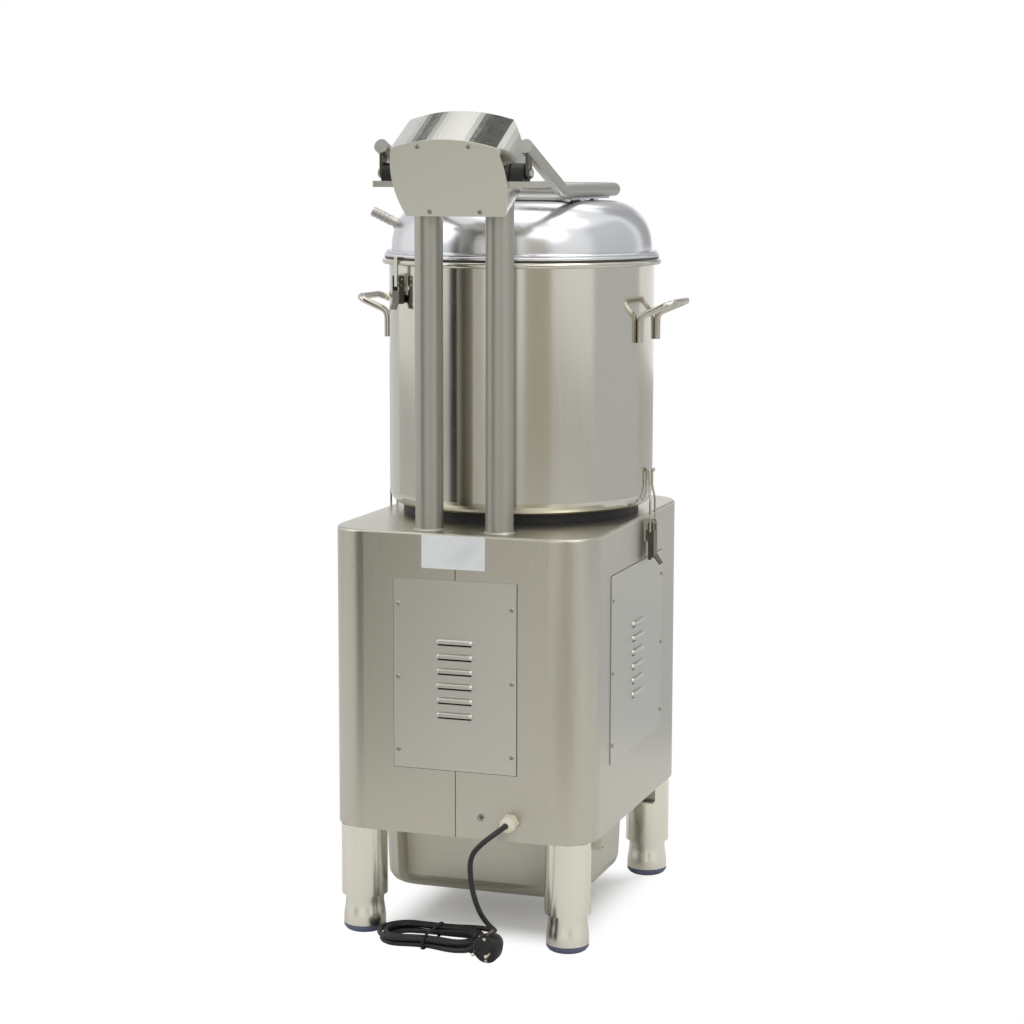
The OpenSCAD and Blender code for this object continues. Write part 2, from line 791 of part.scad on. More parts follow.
module discharge_chute() {
    start = drum_y + drum_r * 0.85;
    color([0.66, 0.65, 0.60]) {
        difference() {
            chute_frame(chute_w + 2 * chute_t, chute_h + 2 * chute_t, start, chute_y1);
            chute_frame(chute_w, chute_h, start - over, chute_y1 + over);
            at_drum() cylinder(r = drum_r + seat, h = drum_z1);
        }
        translate([-chute_w / 2, 0, 0]) rotate([90, 0, 90]) linear_extrude(chute_w) polygon([
            [2 * chute_t - chute_y1, chute_z0 - chute_t / 2], [chute_t - chute_y1, chute_z0 - chute_t / 2],
            [chute_t - chute_y1, spout_z], [-front_reach, spout_z - spout_drop],
            [-front_reach, spout_z - chute_t - spout_drop], [2 * chute_t - chute_y1, spout_z - chute_t]
        ]);
    }
}

door_w = chute_w + 2 * door_lap;
door_h = chute_h + door_lap;
door_mid = chute_z0 + chute_h / 2;
spout_z = door_mid - door_h / 2 - 4;
knuckle_r = 5;
door_pin_x = door_w / 2 + knuckle_r + over;
knuckle_h = 20;
knuckle_gap = 47;
door_pin_r = 2.5;

module discharge_door() {
    color([0.68, 0.67, 0.62]) difference() {
        union() {
            translate([-door_w / 2, -door_y - door_t, door_mid - door_h / 2]) cube([door_w, door_t, door_h]);
            for (s = [-1, 1]) {
                translate([door_w / 2 - over, -door_y - door_t, door_mid + s * knuckle_gap - knuckle_h / 2])
                    cube([knuckle_r + over, door_t, knuckle_h]);
                translate([door_pin_x, -door_y - door_t / 2, door_mid + s * knuckle_gap - knuckle_h / 2])
                    cylinder(r = knuckle_r, h = knuckle_h);
            }
        }
        translate([door_pin_x, -door_y - door_t / 2, door_mid - door_h])
            cylinder(r = door_pin_r + run, h = 2 * door_h);
        translate([-door_catch_x, -door_y + over, door_mid]) rotate([90, 0, 0])
            cylinder(r = catch_pin_r + run, h = door_t + 2 * over);
    }
}

module door_gasket() {
    lap = 5;
    color([0.07, 0.07, 0.07]) difference() {
        chute_frame(chute_w + 2 * lap, chute_h + 2 * lap, chute_y1 + clear, door_y);
        chute_frame(chute_w - lap, chute_h - lap, chute_y1 - over, door_y + over);
    }
}

door_catch_x = chute_w / 2 + chute_t + 9;
catch_pin_r = 3.5;
tongue_l = 15;
tongue_t = 3;
keeper_t = 2.5;
grip_l = 62;

// Quarter-turn handle: the tongue points sideways when open, and down behind the keeper when shut
module door_handle() {
    tongue_y = chute_y1 - keeper_t - 4 * clear;
    color([0.09, 0.09, 0.09]) translate([-door_catch_x, 0, door_mid]) {
        translate([0, -tongue_y + tongue_t, 0]) rotate([90, 0, 0])
            cylinder(r = catch_pin_r, h = door_y + door_t - tongue_y + tongue_t + clear);
        translate([-tongue_l, -tongue_y, -catch_pin_r]) cube([tongue_l, tongue_t, 2 * catch_pin_r]);
        translate([0, -door_y - door_t - clear, 0]) rotate([90, 0, 0]) {
            cylinder(r = 2.4 * catch_pin_r, h = 2 * catch_pin_r);
            translate([0, 0, catch_pin_r]) rotate([0, 90, 0]) cylinder(r = catch_pin_r, h = grip_l);
        }
    }
}

module door_fittings() {
    keeper_x = chute_w / 2 + chute_t;
    color([0.60, 0.60, 0.58]) {
        translate([door_pin_x, -door_y - door_t / 2, door_mid - door_h / 2])
            cylinder(r = door_pin_r, h = door_h);
        for (s = [-1, 1]) {
            z = door_mid + s * (door_h / 2 - knuckle_r);
            translate([chute_w / 2 + chute_t + seat, -chute_y1 + clear, z - knuckle_r])
                cube([door_pin_x + knuckle_r - chute_w / 2 - chute_t, knuckle_r, 2 * knuckle_r]);
            difference() {
                translate([door_pin_x, -door_y - door_t / 2, z - knuckle_r]) union() {
                    cylinder(r = knuckle_r, h = 2 * knuckle_r);
                    translate([-knuckle_r, 0, 0]) cube([2 * knuckle_r, door_y + door_t / 2 - chute_y1 + clear + over, 2 * knuckle_r]);
                }
                translate([door_pin_x, -door_y - door_t / 2, z - knuckle_r - over]) cylinder(r = door_pin_r, h = 2 * knuckle_r + 2 * over);
            }
        }
        translate([-keeper_x - tongue_l - catch_pin_r, -chute_y1, door_mid - catch_pin_r - clear - tongue_l])
            cube([tongue_l + catch_pin_r - seat, keeper_t, tongue_l - catch_pin_r]);
    }
}

// Toggle latches on the two sides, drawn for the +X side

latch_x = hx + 8;
pivot_z = catch_z - bail_h + latch_throw;
ear_t = 1.5;
ear_y = 7;
lever_y = 9.6;
lever_t = 1.2;
lever_in = 4.5;
lever_out = 12.5;
bail_y = 12.4;
rivet_r = 1.6;
latch_base_h = 34;
tab_l = 13;
lift_slot = 3;

module at_latch() { translate([0, -drum_y, 0]) children(); }

module latch_base() {
    at_latch() {
        translate([hx, -latch_w / 2, pivot_z - latch_base_h + 10]) cube([ear_t, latch_w, latch_base_h]);
        for (s = [-1, 1]) difference() {
            translate([hx, s * ear_y - ear_t / 2, pivot_z - 8]) cube([latch_x - hx + 4, ear_t, 14]);
            translate([latch_x, 0, pivot_z]) rotate([90, 0, 0]) cylinder(r = rivet_r, h = latch_w, center = true, $fn = 32);
        }
        translate([latch_x, 0, pivot_z]) rotate([90, 0, 0])
            cylinder(r = rivet_r - run / 2, h = 2 * (lever_y + lever_t / 2), center = true, $fn = 32);
    }
}

// A channel that hangs from the pivot, with a finger tab turned outwards
module latch_lever() {
    tip = pivot_z - lever_h;
    at_latch() difference() {
        union() {
            for (s = [-1, 1]) hull() {
                translate([latch_x, s * lever_y, pivot_z]) rotate([90, 0, 0]) cylinder(r = 4.2, h = lever_t, center = true, $fn = 24);
                translate([hx + lever_in, s * lever_y - lever_t / 2, tip]) cube([lever_out - lever_in - 3, lever_t, 6]);
            }
            translate([hx + lever_out - lever_t, -lever_y, tip + 6]) cube([lever_t, 2 * lever_y, lever_h - 14]);
            hull() {
                translate([hx + lever_out - lever_t, -lever_y, tip + 6]) cube([lever_t, 2 * lever_y, 1]);
                translate([hx + lever_out - lever_t + tab_l * 0.7, -lever_y * 0.8, tip - tab_l * 0.5]) cube([lever_t, 1.6 * lever_y, 1]);
            }
        }
        for (z = [pivot_z, pivot_z - latch_throw]) {
            translate([latch_x, 0, z]) rotate([90, 0, 0])
                cylinder(r = (z == pivot_z ? rivet_r : bail_r) + run, h = 2 * latch_w, center = true, $fn = 32);
        }
    }
}

module latch_bail() {
    z0 = pivot_z - latch_throw;
    neck = catch_w / 2 + bail_r + 1.2;
    at_latch() rod([
        [latch_x, -lever_y, z0], [latch_x, -bail_y, z0], [latch_x, -bail_y, z0 + bail_h * 0.55],
        [bar_x, -neck, z0 + bail_h * 0.72], [bar_x, -neck, catch_z], [bar_x, neck, catch_z],
        [bar_x, neck, z0 + bail_h * 0.72], [latch_x, bail_y, z0 + bail_h * 0.55], [latch_x, bail_y, z0],
        [latch_x, lever_y, z0]
    ], bail_r, $fn = 24);
}

// Latch that holds the lid down, on the drum's rim, drawn for azimuth 0 and turned into place

lid_latch_turn = 48;
hook_w = 9;
hook_t = 1.5;
hook_gap = 0.6;
hook_x = rim_r + hook_gap;
lid_pivot_z = drum_z1 - 26;
lid_pivot_x = drum_r + 7.5;
lid_lever_h = 42;
lid_ear_y = 7;
lid_ear_h = 10;
lid_ear_out = 9.5;
hook_pin_drop = 9;

module at_lid_latch() { at_drum() rotate([0, 0, lid_latch_turn]) children(); }

module lid_latch_base() {
    at_lid_latch() {
        difference() {
            translate([drum_r - 2, -latch_w / 2 + 2, lid_pivot_z - 22]) cube([3.5, latch_w - 4, 30]);
            translate([0, 0, lid_pivot_z - 40]) cylinder(r = drum_r + seat, h = 80);
        }
        for (s = [-1, 1]) translate([drum_r + 1, s * lid_ear_y - ear_t / 2, lid_pivot_z - lid_ear_h / 2]) cube([lid_ear_out, ear_t, lid_ear_h]);
        translate([lid_pivot_x, 0, lid_pivot_z]) rotate([90, 0, 0])
            cylinder(r = rivet_r, h = 2 * (lever_y + lever_t / 2), center = true, $fn = 32);
    }
}

module latch_bases() {
    color([0.70, 0.69, 0.66]) {
        both_sides() latch_base();
        both_sides() at_drum() translate([0, catch_w / 2, catch_z - bail_r - clear]) rotate([90, 0, 0])
            linear_extrude(catch_w) catch_profile();
        lid_latch_base();
    }
}

module lid_latch_lever() {
    tip = lid_pivot_z - lid_lever_h;
    color([0.62, 0.61, 0.57]) at_lid_latch() difference() {
        union() {
            for (s = [-1, 1]) translate([lid_pivot_x - 3.4, s * lever_y - lever_t / 2, tip + 8]) cube([8, lever_t, lid_lever_h - 4]);
            translate([lid_pivot_x + 3.4, -lever_y, tip + 8]) cube([lever_t, 2 * lever_y, lid_lever_h - 24]);
            translate([lid_pivot_x + 3.4, -lever_y * 0.8, tip]) rotate([90, 0, 0]) mirror([0, 0, 1])
                linear_extrude(1.6 * lever_y) polygon([[0, 10], [lever_t, 10], [lever_t + 4, 0], [4, 0]]);
        }
        for (z = [lid_pivot_z, lid_pivot_z - hook_pin_drop]) translate([lid_pivot_x, 0, z]) rotate([90, 0, 0])
            cylinder(r = rivet_r + run, h = 2 * latch_w, center = true, $fn = 32);
    }
}

// A strap that reaches up outside the rim and turns in over it, beside the lid's flange
module lid_latch_hook() {
    z0 = lid_pivot_z - hook_pin_drop;
    tip_in = lid_r + 1.2;
    color([0.76, 0.75, 0.72]) at_lid_latch() {
        translate([0, hook_w / 2 - hook_w, 0]) rotate([90, 0, 0]) mirror([0, 0, 1]) linear_extrude(hook_w) polygon([
            [lid_pivot_x, z0 - hook_t], [hook_x + hook_t, z0 - hook_t], [hook_x + hook_t, drum_z1 + 4],
            [tip_in, drum_z1 + 4], [tip_in, drum_z1 + 1], [hook_x, drum_z1 + 1], [hook_x, z0 + hook_t], [lid_pivot_x, z0 + hook_t]
        ]);
        translate([lid_pivot_x, 0, z0]) rotate([90, 0, 0]) cylinder(r = rivet_r, h = 2 * (lever_y + lever_t / 2), center = true, $fn = 32);
    }
}

// Columns, hinge bracket, bearing blocks and pins

weld = 2.5;

module columns() {
    color([0.62, 0.61, 0.56]) both_sides() translate([column_x, column_y, 0]) {
        difference() {
            union() {
                translate([0, 0, body_z1]) cylinder(r = column_r, h = column_h);
                translate([0, 0, body_z1]) cylinder(r1 = column_r + weld, r2 = column_r, h = weld);
            }
            translate([0, 0, body_z1 - over]) cylinder(r = column_r - column_wall, h = column_h + 2 * over);
        }
    }
}

block_w = 18;
block_d = 30;
block_up = 13;
ear_w = 5;
ear_x = arm_x + 1;
block_x = ear_x - ear_w / 2 - clear - block_w;
pin_out = 3;

module hinge_bracket() {
    front = column_y - column_r - 2;
    color([0.66, 0.65, 0.60]) {
        translate([-bracket_w / 2, front, column_z1]) cube([bracket_w, bracket_back - front, bracket_t]);
        both_sides() translate([block_x, hinge_y, hinge_z]) rotate([0, 90, 0]) {
            cylinder(r = pin_r, h = ear_x + ear_w / 2 + pin_out - block_x, $fn = 48);
            translate([0, 0, ear_x + ear_w / 2 + clear - block_x]) cylinder(r = pin_r * 1.6, h = pin_out - clear, $fn = 6);
        }
    }
}

module hinge_blocks() {
    color([0.05, 0.05, 0.05]) both_sides() translate([block_x, hinge_y, 0]) difference() {
        union() {
            translate([0, -block_d / 2, bracket_z1]) cube([block_w, block_d, hinge_up / 2]);
            translate([0, 0, hinge_z]) rotate([0, 90, 0]) cylinder(r = block_up, h = block_w);
            translate([0, -block_up, bracket_z1]) cube([block_w, 2 * block_up, hinge_up]);
        }
        translate([-over, 0, hinge_z]) rotate([0, 90, 0]) cylinder(r = pin_r, h = block_w + 2 * over, $fn = 48);
        translate([-over, -block_d, bracket_z1 - block_d]) cube([block_w + 2 * over, 2 * block_d, block_d]);
    }
}

// Control head: local X across, local -Y towards the control face, local Z up the rear plate

module in_head() { translate([0, head_y0, head_z0]) rotate([-head_tilt, 0, 0]) children(); }

function head_side(s) = let (f = s / head_h)
    head_foot_w + (head_top_w - head_foot_w) * f + head_bulge * 4 * f * (1 - f);

function head_points(inset) = concat(
    [for (k = [0:10]) let (s = head_h * k / 10) [head_side(s) - inset, max(s, inset)]],
    [for (k = [-9:9]) let (x = -head_top_w * k / 10) [x * (1 - inset / head_top_w), head_h + crown * (1 - k * k / 100) - inset]],
    [for (k = [0:10]) let (s = head_h * (10 - k) / 10) [-head_side(s) + inset, max(s, inset)]]
);

// The head's outline as a slice from local y = -from back to local y = -to
module head_slice(inset, from, to) {
    translate([0, -to, 0]) rotate([90, 0, 0]) linear_extrude(from - to) polygon(head_points(inset));
}

module head_shell() {
    color([0.64, 0.63, 0.58]) difference() {
        in_head() difference() {
            head_slice(0, head_d - head_skin, head_skin);
            head_slice(head_skin, head_d + over, -over);
        }
        translate([-bracket_w / 2, column_y - column_r - 2 - clear, column_z1 - clear])
            cube([bracket_w, bracket_back + 2 * clear - column_y + column_r + 2, bracket_t + 2 * clear]);
        both_sides() translate([block_x - clear, hinge_y - block_d / 2 - clear, column_z1])
            cube([block_w, block_d + 2 * clear, bracket_t + hinge_up + block_up + clear]);
        both_sides() translate([column_x, column_y, body_z1]) cylinder(r = column_r + clear, h = column_h + over);
    }
}

head_screw_x = 35;
head_screw_low = 7;
head_screw_high = 102;

module head_screw_places() {
    for (s = [-1, 1], z = [head_screw_low, head_screw_high]) translate([s * head_screw_x, 0, z]) children();
}

module head_back_plate() {
    color([0.67, 0.67, 0.62]) in_head() difference() {
        head_slice(0, head_skin, 0);
        head_screw_places() translate([0, over, 0]) rotate([90, 0, 0]) cylinder(r = screw_r, h = head_skin + 2 * over, $fn = 24);
    }
}

knob_s = 62;
button_x = 48;
button_s = 58;
shaft_r = 3;
collar_h = 3;

module panel_hole(x, s, r) {
    translate([x, -head_d - over, s]) rotate([-90, 0, 0]) cylinder(r = r, h = head_skin + 2 * over, $fn = 48);
}

module control_panel() {
    color([0.66, 0.65, 0.61]) in_head() difference() {
        head_slice(0, head_d, head_d - head_skin);
        panel_hole(0, knob_s, shaft_r + clear);
        for (s = [-1, 1]) panel_hole(s * button_x, button_s, button_r - 1.5);
    }
}

// A tapered knob with grip flutes and a pointer rib, on its shaft
module timer_knob() {
    color([0.08, 0.08, 0.08]) in_head() translate([0, -head_d, knob_s]) rotate([90, 0, 0]) {
        difference() {
            translate([0, 0, clear]) cylinder(r1 = knob_r, r2 = knob_r * 0.86, h = knob_h);
            for (k = [0:11]) rotate([0, 0, 30 * k + 15]) translate([knob_r * 1.12, 0, -over])
                cylinder(r = knob_r / 6, h = knob_h + 3 * over, $fn = 24);
            translate([0, 0, -over]) cylinder(r = shaft_r - run, h = knob_h / 2);
        }
        translate([-knob_r / 12, knob_r / 4, knob_h]) cube([knob_r / 6, knob_r / 2, 2]);
        translate([0, 0, -head_skin - 2]) cylinder(r = shaft_r, h = knob_h / 2 + head_skin + 2, $fn = 32);
    }
}

module push_button(x) {
    in_head() translate([x, -head_d, button_s]) rotate([90, 0, 0]) {
        translate([0, 0, collar_h - clear]) cylinder(r1 = button_r - 2, r2 = button_r - 2.6, h = button_travel + 2);
        translate([0, 0, -head_skin - button_travel]) cylinder(r = button_r - 4, h = collar_h + button_travel + head_skin);
    }
}

module start_button() { color([0.10, 0.45, 0.18]) push_button(-button_x); }
module stop_button() { color([0.65, 0.08, 0.06]) push_button(button_x); }

switch_d = 30;
switch_back = 8;
switch_w = 20;
switch_h = 22;
timer_w = 48;
timer_h = 44;
timer_seat = 2.5;

// Timer body and two contact blocks behind the control face, and the buttons' round collars
module control_switches() {
    color([0.12, 0.12, 0.13]) in_head() {
        for (s = [-1, 1]) translate([s * button_x, -head_d, button_s]) rotate([90, 0, 0]) difference() {
            union() {
                cylinder(r = button_r + 1.5, h = collar_h);
                translate([0, 0, -head_skin - switch_back]) cylinder(r = button_r - 1.6, h = head_skin + switch_back + 1);
            }
            translate([0, 0, -head_skin - switch_back - over]) cylinder(r = button_r - 2.6, h = head_skin + switch_back + over);
            translate([0, 0, -over]) cylinder(r = button_r - 1.8, h = collar_h + 2 * over);
        }
        for (s = [-1, 1]) translate([s * button_x, -head_d + head_skin + switch_back, button_s])
            translate([-switch_w / 2, 0, -switch_h / 2]) cube([switch_w, switch_d, switch_h]);
        translate([-timer_w / 2, -head_d + head_skin + timer_seat, knob_s - timer_h / 2])
            cube([timer_w, switch_d, timer_h]);
        translate([0, -head_d + head_skin, knob_s]) rotate([-90, 0, 0]) difference() {
            cylinder(r = 3 * shaft_r, h = timer_seat);
            translate([0, 0, -over]) cylinder(r = shaft_r + clear, h = timer_seat + 2 * over);
        }
    }
}

// Lid with its arm

function lid_curve(t) = [for (a = [0:9:90]) [
    dome_flat_r + (dome_r - dome_flat_r - t) * pow(cos(a), 2 / dome_power),
    dome_z0 + (dome_h - t) * pow(sin(a), 2 / dome_power)
]];

module lid_dome() {
    step = 3;
    color([0.78, 0.79, 0.80]) difference() {
        at_drum() rotate_extrude() polygon(concat(
            [[dome_r - lid_t, lid_z0 + lid_t], [dome_r - lid_t + over, lid_z0], [lid_r - over, lid_z0], [lid_r, lid_z0 + over],
                [lid_r, dome_z0 - step], [lid_r - over, dome_z0 - step / 2], [dome_r + step, dome_z0 - over / 2]],
            lid_curve(0), [[0, dome_z1], [0, dome_z1 - lid_t]],
            [for (k = [10:-1:0]) lid_curve(lid_t)[k]]
        ));
        nozzle_place() translate([0, 0, -3 * over]) cylinder(r = nozzle_r - nozzle_wall, h = 6 * over);
    }
}

module lid_gasket() {
    color([0.05, 0.05, 0.05]) at_drum() translate([0, 0, lid_z0 - gasket_t]) difference() {
        cylinder(r = lid_r - 1, h = gasket_t);
        translate([0, 0, -over]) cylinder(r = dome_r, h = gasket_t + 2 * over);
    }
}

arm_slope = atan((hinge_z + arm_up - arm_z) / (arm_back + arm_bend));
corner_r = 36;
arm_end = [hinge_y + arm_back, hinge_z + arm_up];
bend_y = hinge_y - arm_bend;
front_y = -drum_y - arm_front;

// Points of an arc in the plane of u and v about c
function arc_points(c, u, v, r, from, to, steps) =
    [for (k = [0:steps]) let (a = from + (to - from) * k / steps) c + r * (cos(a) * u + sin(a) * v)];

// The arm's path on one side: from its rear end round the bend to the front corner
bend_r = 60;
arm_cut = bend_r * tan(arm_slope / 2);
arm_side_path = concat(
    [[arm_x, arm_end[0], arm_end[1]]],
    arc_points([arm_x, bend_y - arm_cut, arm_z + bend_r], [0, 0, -1], [0, 1, 0], bend_r, arm_slope, 0, 4),
    arc_points([arm_x - corner_r, front_y + corner_r, arm_z], [1, 0, 0], [0, -1, 0], corner_r, 0, 90, 7)
);
arm_path = let (n = len(arm_side_path)) concat(arm_side_path,
    [for (k = [n - 1:-1:0]) [-arm_side_path[k][0], arm_side_path[k][1], arm_side_path[k][2]]]);

module lid_arm() {
    color([0.72, 0.72, 0.70]) {
        tube_along(arm_path, arm_r, 24);
        both_sides() arm_ear();
    }
}

// Plate under the rear of the tube, round the hinge pin
module arm_ear() {
    up = arm_up - arm_r / 2;
    difference() {
        union() {
            translate([ear_x - ear_w / 2, hinge_y, hinge_z]) rotate([0, 90, 0]) cylinder(r = 2 * pin_r, h = ear_w);
            translate([ear_x - ear_w / 2, hinge_y - 2 * pin_r, hinge_z]) cube([ear_w, 4 * pin_r, up]);
        }
        translate([ear_x - ear_w, hinge_y, hinge_z]) rotate([0, 90, 0]) cylinder(r = pin_r + run, h = 2 * ear_w, $fn = 48);
    }
}

bolt_r = 3;
bolt_rows = [-64, 0, 64];

module lid_plate() {
    low = dome_z1 + plate_gap;
    color([0.70, 0.70, 0.67]) difference() {
        union() {
            translate([-arm_x - 2, -drum_y - plate_d / 2, low]) cube([2 * arm_x + 4, plate_d, arm_z - arm_r - low + 1]);
            for (s = [-1, 1], y = bolt_rows) translate([s * (arm_x - 14), -drum_y + y, dome_z1 + seat]) {
                cylinder(r = 2 * bolt_r, h = plate_gap);
                cylinder(r = 1.8 * bolt_r, h = arm_z - arm_r - dome_z1 + bolt_r, $fn = 6);
            }
        }
        both_sides() bar([arm_x, bend_y, arm_z], [arm_x, front_y, arm_z], arm_r + seat);
    }
}

nozzle_turn = 18;
nozzle_rise = 27;
nozzle_r = 6.2;
nozzle_wall = 1.6;
nozzle_l = 42;
nozzle_base_r = dome_r - 10.2;
nozzle_base_z = dome_z0 + 34;
rib_count = 5;

module nozzle_place() {
    at_drum() rotate([0, 0, nozzle_turn]) translate([nozzle_base_r, 0, nozzle_base_z]) rotate([0, 90 - nozzle_rise, 0]) children();
}

// Ribbed hose nozzle for the water supply, welded into the dome
module water_nozzle() {
    rib = nozzle_l / (rib_count + 2);
    color([0.74, 0.74, 0.72]) difference() {
        nozzle_place() difference() {
            union() {
                cylinder(r = nozzle_r, h = nozzle_l);
                cylinder(r = nozzle_r + 2, h = 5);
                for (k = [0:rib_count - 1]) translate([0, 0, nozzle_l - (k + 1) * rib]) cylinder(r1 = nozzle_r + 1.2, r2 = nozzle_r, h = rib);
            }
            translate([0, 0, -over]) cylinder(r = nozzle_r - nozzle_wall, h = nozzle_l + 2 * over);
        }
        at_drum() rotate_extrude() polygon(concat([[0, dome_z0 - over]], [for (p = lid_curve(0)) [p[0] + seat, p[1] + seat]],
            [[0, dome_z1 + seat]]));
    }
}

// Drive: disc, spindle, bearings, pulleys, belt and motor

housing_r = 40;
housing_h = 130;
flange_r = 62;
bearing_h = 14;
disc_z0 = drum_z0 + drum_t + 5;
pulley_h = 22;
pulley_drop = 215;
pulley_z = body_z1 - pulley_drop;
motor_y = belt_centres - drum_y;

module abrasive_disc() {
    color([0.30, 0.28, 0.26]) at_drum() translate([0, 0, disc_z0]) difference() {
        union() {
            cylinder(r = disc_r, h = disc_t);
            translate([0, 0, disc_t]) cylinder(r1 = hub_r, r2 = hub_r * 0.7, h = wave_h / 2);
            for (a = [0, 180]) rotate([0, 0, a]) intersection() {
                translate([hub_r * 0.6, 0, disc_t + wave_h - 3.6 * wave_h]) rotate([0, 90, 0])
                    translate([0, 0, 0]) cylinder(r = 3.6 * wave_h, h = disc_r - hub_r * 0.6 - 12);
                translate([0, -disc_r, disc_t - over]) cube([disc_r, 2 * disc_r, wave_h + over]);
            }
        }
        translate([0, 0, -over]) cylinder(r = spindle_r, h = disc_t + over);
    }
}

module spindle() {
    color([0.55, 0.55, 0.54]) at_drum() translate([0, 0, pulley_z - 6])
        cylinder(r = spindle_r - run, h = disc_z0 + disc_t - pulley_z + 6 - over / 2);
}

module bearing_housing() {
    color([0.42, 0.43, 0.45]) at_drum() difference() {
        union() {
            translate([0, 0, body_z1 - housing_h]) cylinder(r = housing_r, h = housing_h + drum_gap / 2);
            translate([0, 0, body_z1 - sheet - 8]) cylinder(r = flange_r, h = 8 - seat);
        }
        translate([0, 0, body_z1 - housing_h - over]) cylinder(r = spindle_r + run, h = housing_h + drum_gap);
        translate([0, 0, body_z1 - housing_h + bearing_h]) cylinder(r = housing_r - 8, h = housing_h - 2.5 * bearing_h);
    }
}

groove = 5;

module pulley(r, bore) {
    rotate_extrude() polygon([[bore, 0], [r, 0], [r, 3], [r - groove, 7], [r - groove, pulley_h - 7], [r, pulley_h - 3], [r, pulley_h], [bore, pulley_h]]);
}

module disc_pulley() { color([0.50, 0.50, 0.50]) at_drum() translate([0, 0, pulley_z]) pulley(big_pulley_r, spindle_r); }

motor_shaft_r = 9.5;

module motor_pulley() {
    color([0.50, 0.50, 0.50]) translate([0, motor_y, pulley_z]) {
        pulley(small_pulley_r, motor_shaft_r);
        translate([0, 0, -4]) cylinder(r = motor_shaft_r, h = motor_z0 - pulley_z + 12);
    }
}

motor_z0 = pulley_z + pulley_h + 8;
fin_count = 18;
fin_l = 8;
fin_t = 3;
strap_w = 24;
strap_t = 8;
strap_in = 12;
yoke_w = 28;
yoke_t = 5;

// Flange motor hanging from the cabinet's top on a folded bracket, with cooling ribs and a fan cowl
module motor() {
    top = motor_z0 + motor_h;
    color([0.24, 0.30, 0.36]) translate([0, motor_y, 0]) difference() {
        union() {
            translate([0, 0, motor_z0]) cylinder(r = motor_r, h = 8);
            translate([0, 0, motor_z0]) cylinder(r = motor_r - 6, h = motor_h);
            for (k = [0:fin_count - 1]) rotate([0, 0, 360 / fin_count * k])
                translate([motor_r - fin_l, -fin_t / 2, motor_z0 + strap_in]) cube([fin_l, fin_t, motor_h * 0.6]);
            translate([0, 0, top - motor_h * 0.25]) cylinder(r = motor_r - 1, h = motor_h * 0.25);
            for (s = [-1, 1]) translate([s * (motor_r - strap_in - strap_t / 2) - strap_t / 2, -strap_w / 2, top - over])
                cube([strap_t, strap_w, body_z1 - sheet - top + over - seat]);
            translate([-motor_r + strap_in / 2, -yoke_w / 2, top - seat - yoke_t])
                cube([2 * motor_r - strap_in, yoke_w, yoke_t + over]);
        }
        translate([0, 0, motor_z0 - over]) cylinder(r = motor_shaft_r + clear, h = 10 + 2 * over);
    }
}

belt_w = pulley_h - 14 - 2 * clear;
belt_t = 4;

// The belt lies in both grooves: an outline of two arcs and two straight runs
module belt_outline(extra) {
    hull() {
        translate([0, -drum_y]) circle(r = big_pulley_r - groove + clear + extra);
        translate([0, motor_y]) circle(r = small_pulley_r - groove + clear + extra);
    }
}

module drive_belt() {
    color([0.05, 0.05, 0.05]) translate([0, 0, pulley_z + 7 + clear]) linear_extrude(belt_w) difference() {
        belt_outline(belt_t);
        belt_outline(0);
    }
}

// Rings of a round tube along a path, each square to the path
function path_dir(p, i) = let (a = p[max(i - 1, 0)], b = p[min(i + 1, len(p) - 1)]) (b - a) / norm(b - a);
function ring_at(c, dir, r, n) = let (
    u0 = cross(abs(dir[2]) > 0.9 ? [1, 0, 0] : [0, 0, 1], dir), u = u0 / norm(u0), v = cross(dir, u)
) [for (k = [0:n - 1]) c + r * (cos(360 * k / n) * u + sin(360 * k / n) * v)];

module tube_along(points, r, n) {
    skin([for (i = [0:len(points) - 1]) ring_at(points[i], path_dir(points, i), r, n)]);
}

// Hank: loops with round ends, spiralling in on the upper layer and out again on the lower one

hank_x = 36;
hank_y = 230;
hank_turns = 3.5;
hank_turn_in = 2;
hank_step = 8.4;
hank_bend_r = 23.4;
hank_half = 37;
hank_pinch = 5;
hank_steps = 24;
hank_lift = 0.3;
tie_t = 1;

function hank_spiral(u) = u <= hank_turn_in ? hank_turn_in - u : u - hank_turn_in;
function hank_level(u) = let (f = min(max((hank_turn_in + 0.25 - u) / 0.5, 0), 1)) f * f * (3 - 2 * f);
// Place on a loop with two straight runs and two half circles, u turns from the middle of the rear run
function loop_place(r, f) =
    let (straight = 2 * hank_half, arc = PI * r, whole = 2 * straight + 2 * arc, d = (f - floor(f)) * whole)
    d < hank_half ? [d, -r] :
    d < hank_half + arc ? let (a = (d - hank_half) / r * 180 / PI - 90) [hank_half + r * cos(a), r * sin(a)] :
    d < 3 * hank_half + arc ? [2 * hank_half + arc - d, r] :
    d < 3 * hank_half + 2 * arc ? let (a = (d - 3 * hank_half - arc) / r * 180 / PI + 90) [-hank_half + r * cos(a), r * sin(a)] :
    [d - whole, -r];
function hank_bump(x) = let (c = cos(90 * min(abs(x) / (hank_half + hank_bend_r), 1))) c * c;
function hank_point(u) =
    let (r = hank_bend_r + hank_step * hank_spiral(u), q = loop_place(r, u), bump = hank_bump(q[0]))
    [hank_x + q[0], hank_y + q[1] - sign(q[1]) * hank_pinch * bump,
        cable_d / 2 + hank_lift + tie_t * bump + (cable_d + 0.8) * hank_level(u)];
hank_points = [for (k = [0:hank_turns * hank_steps]) hank_point(k / hank_steps)];

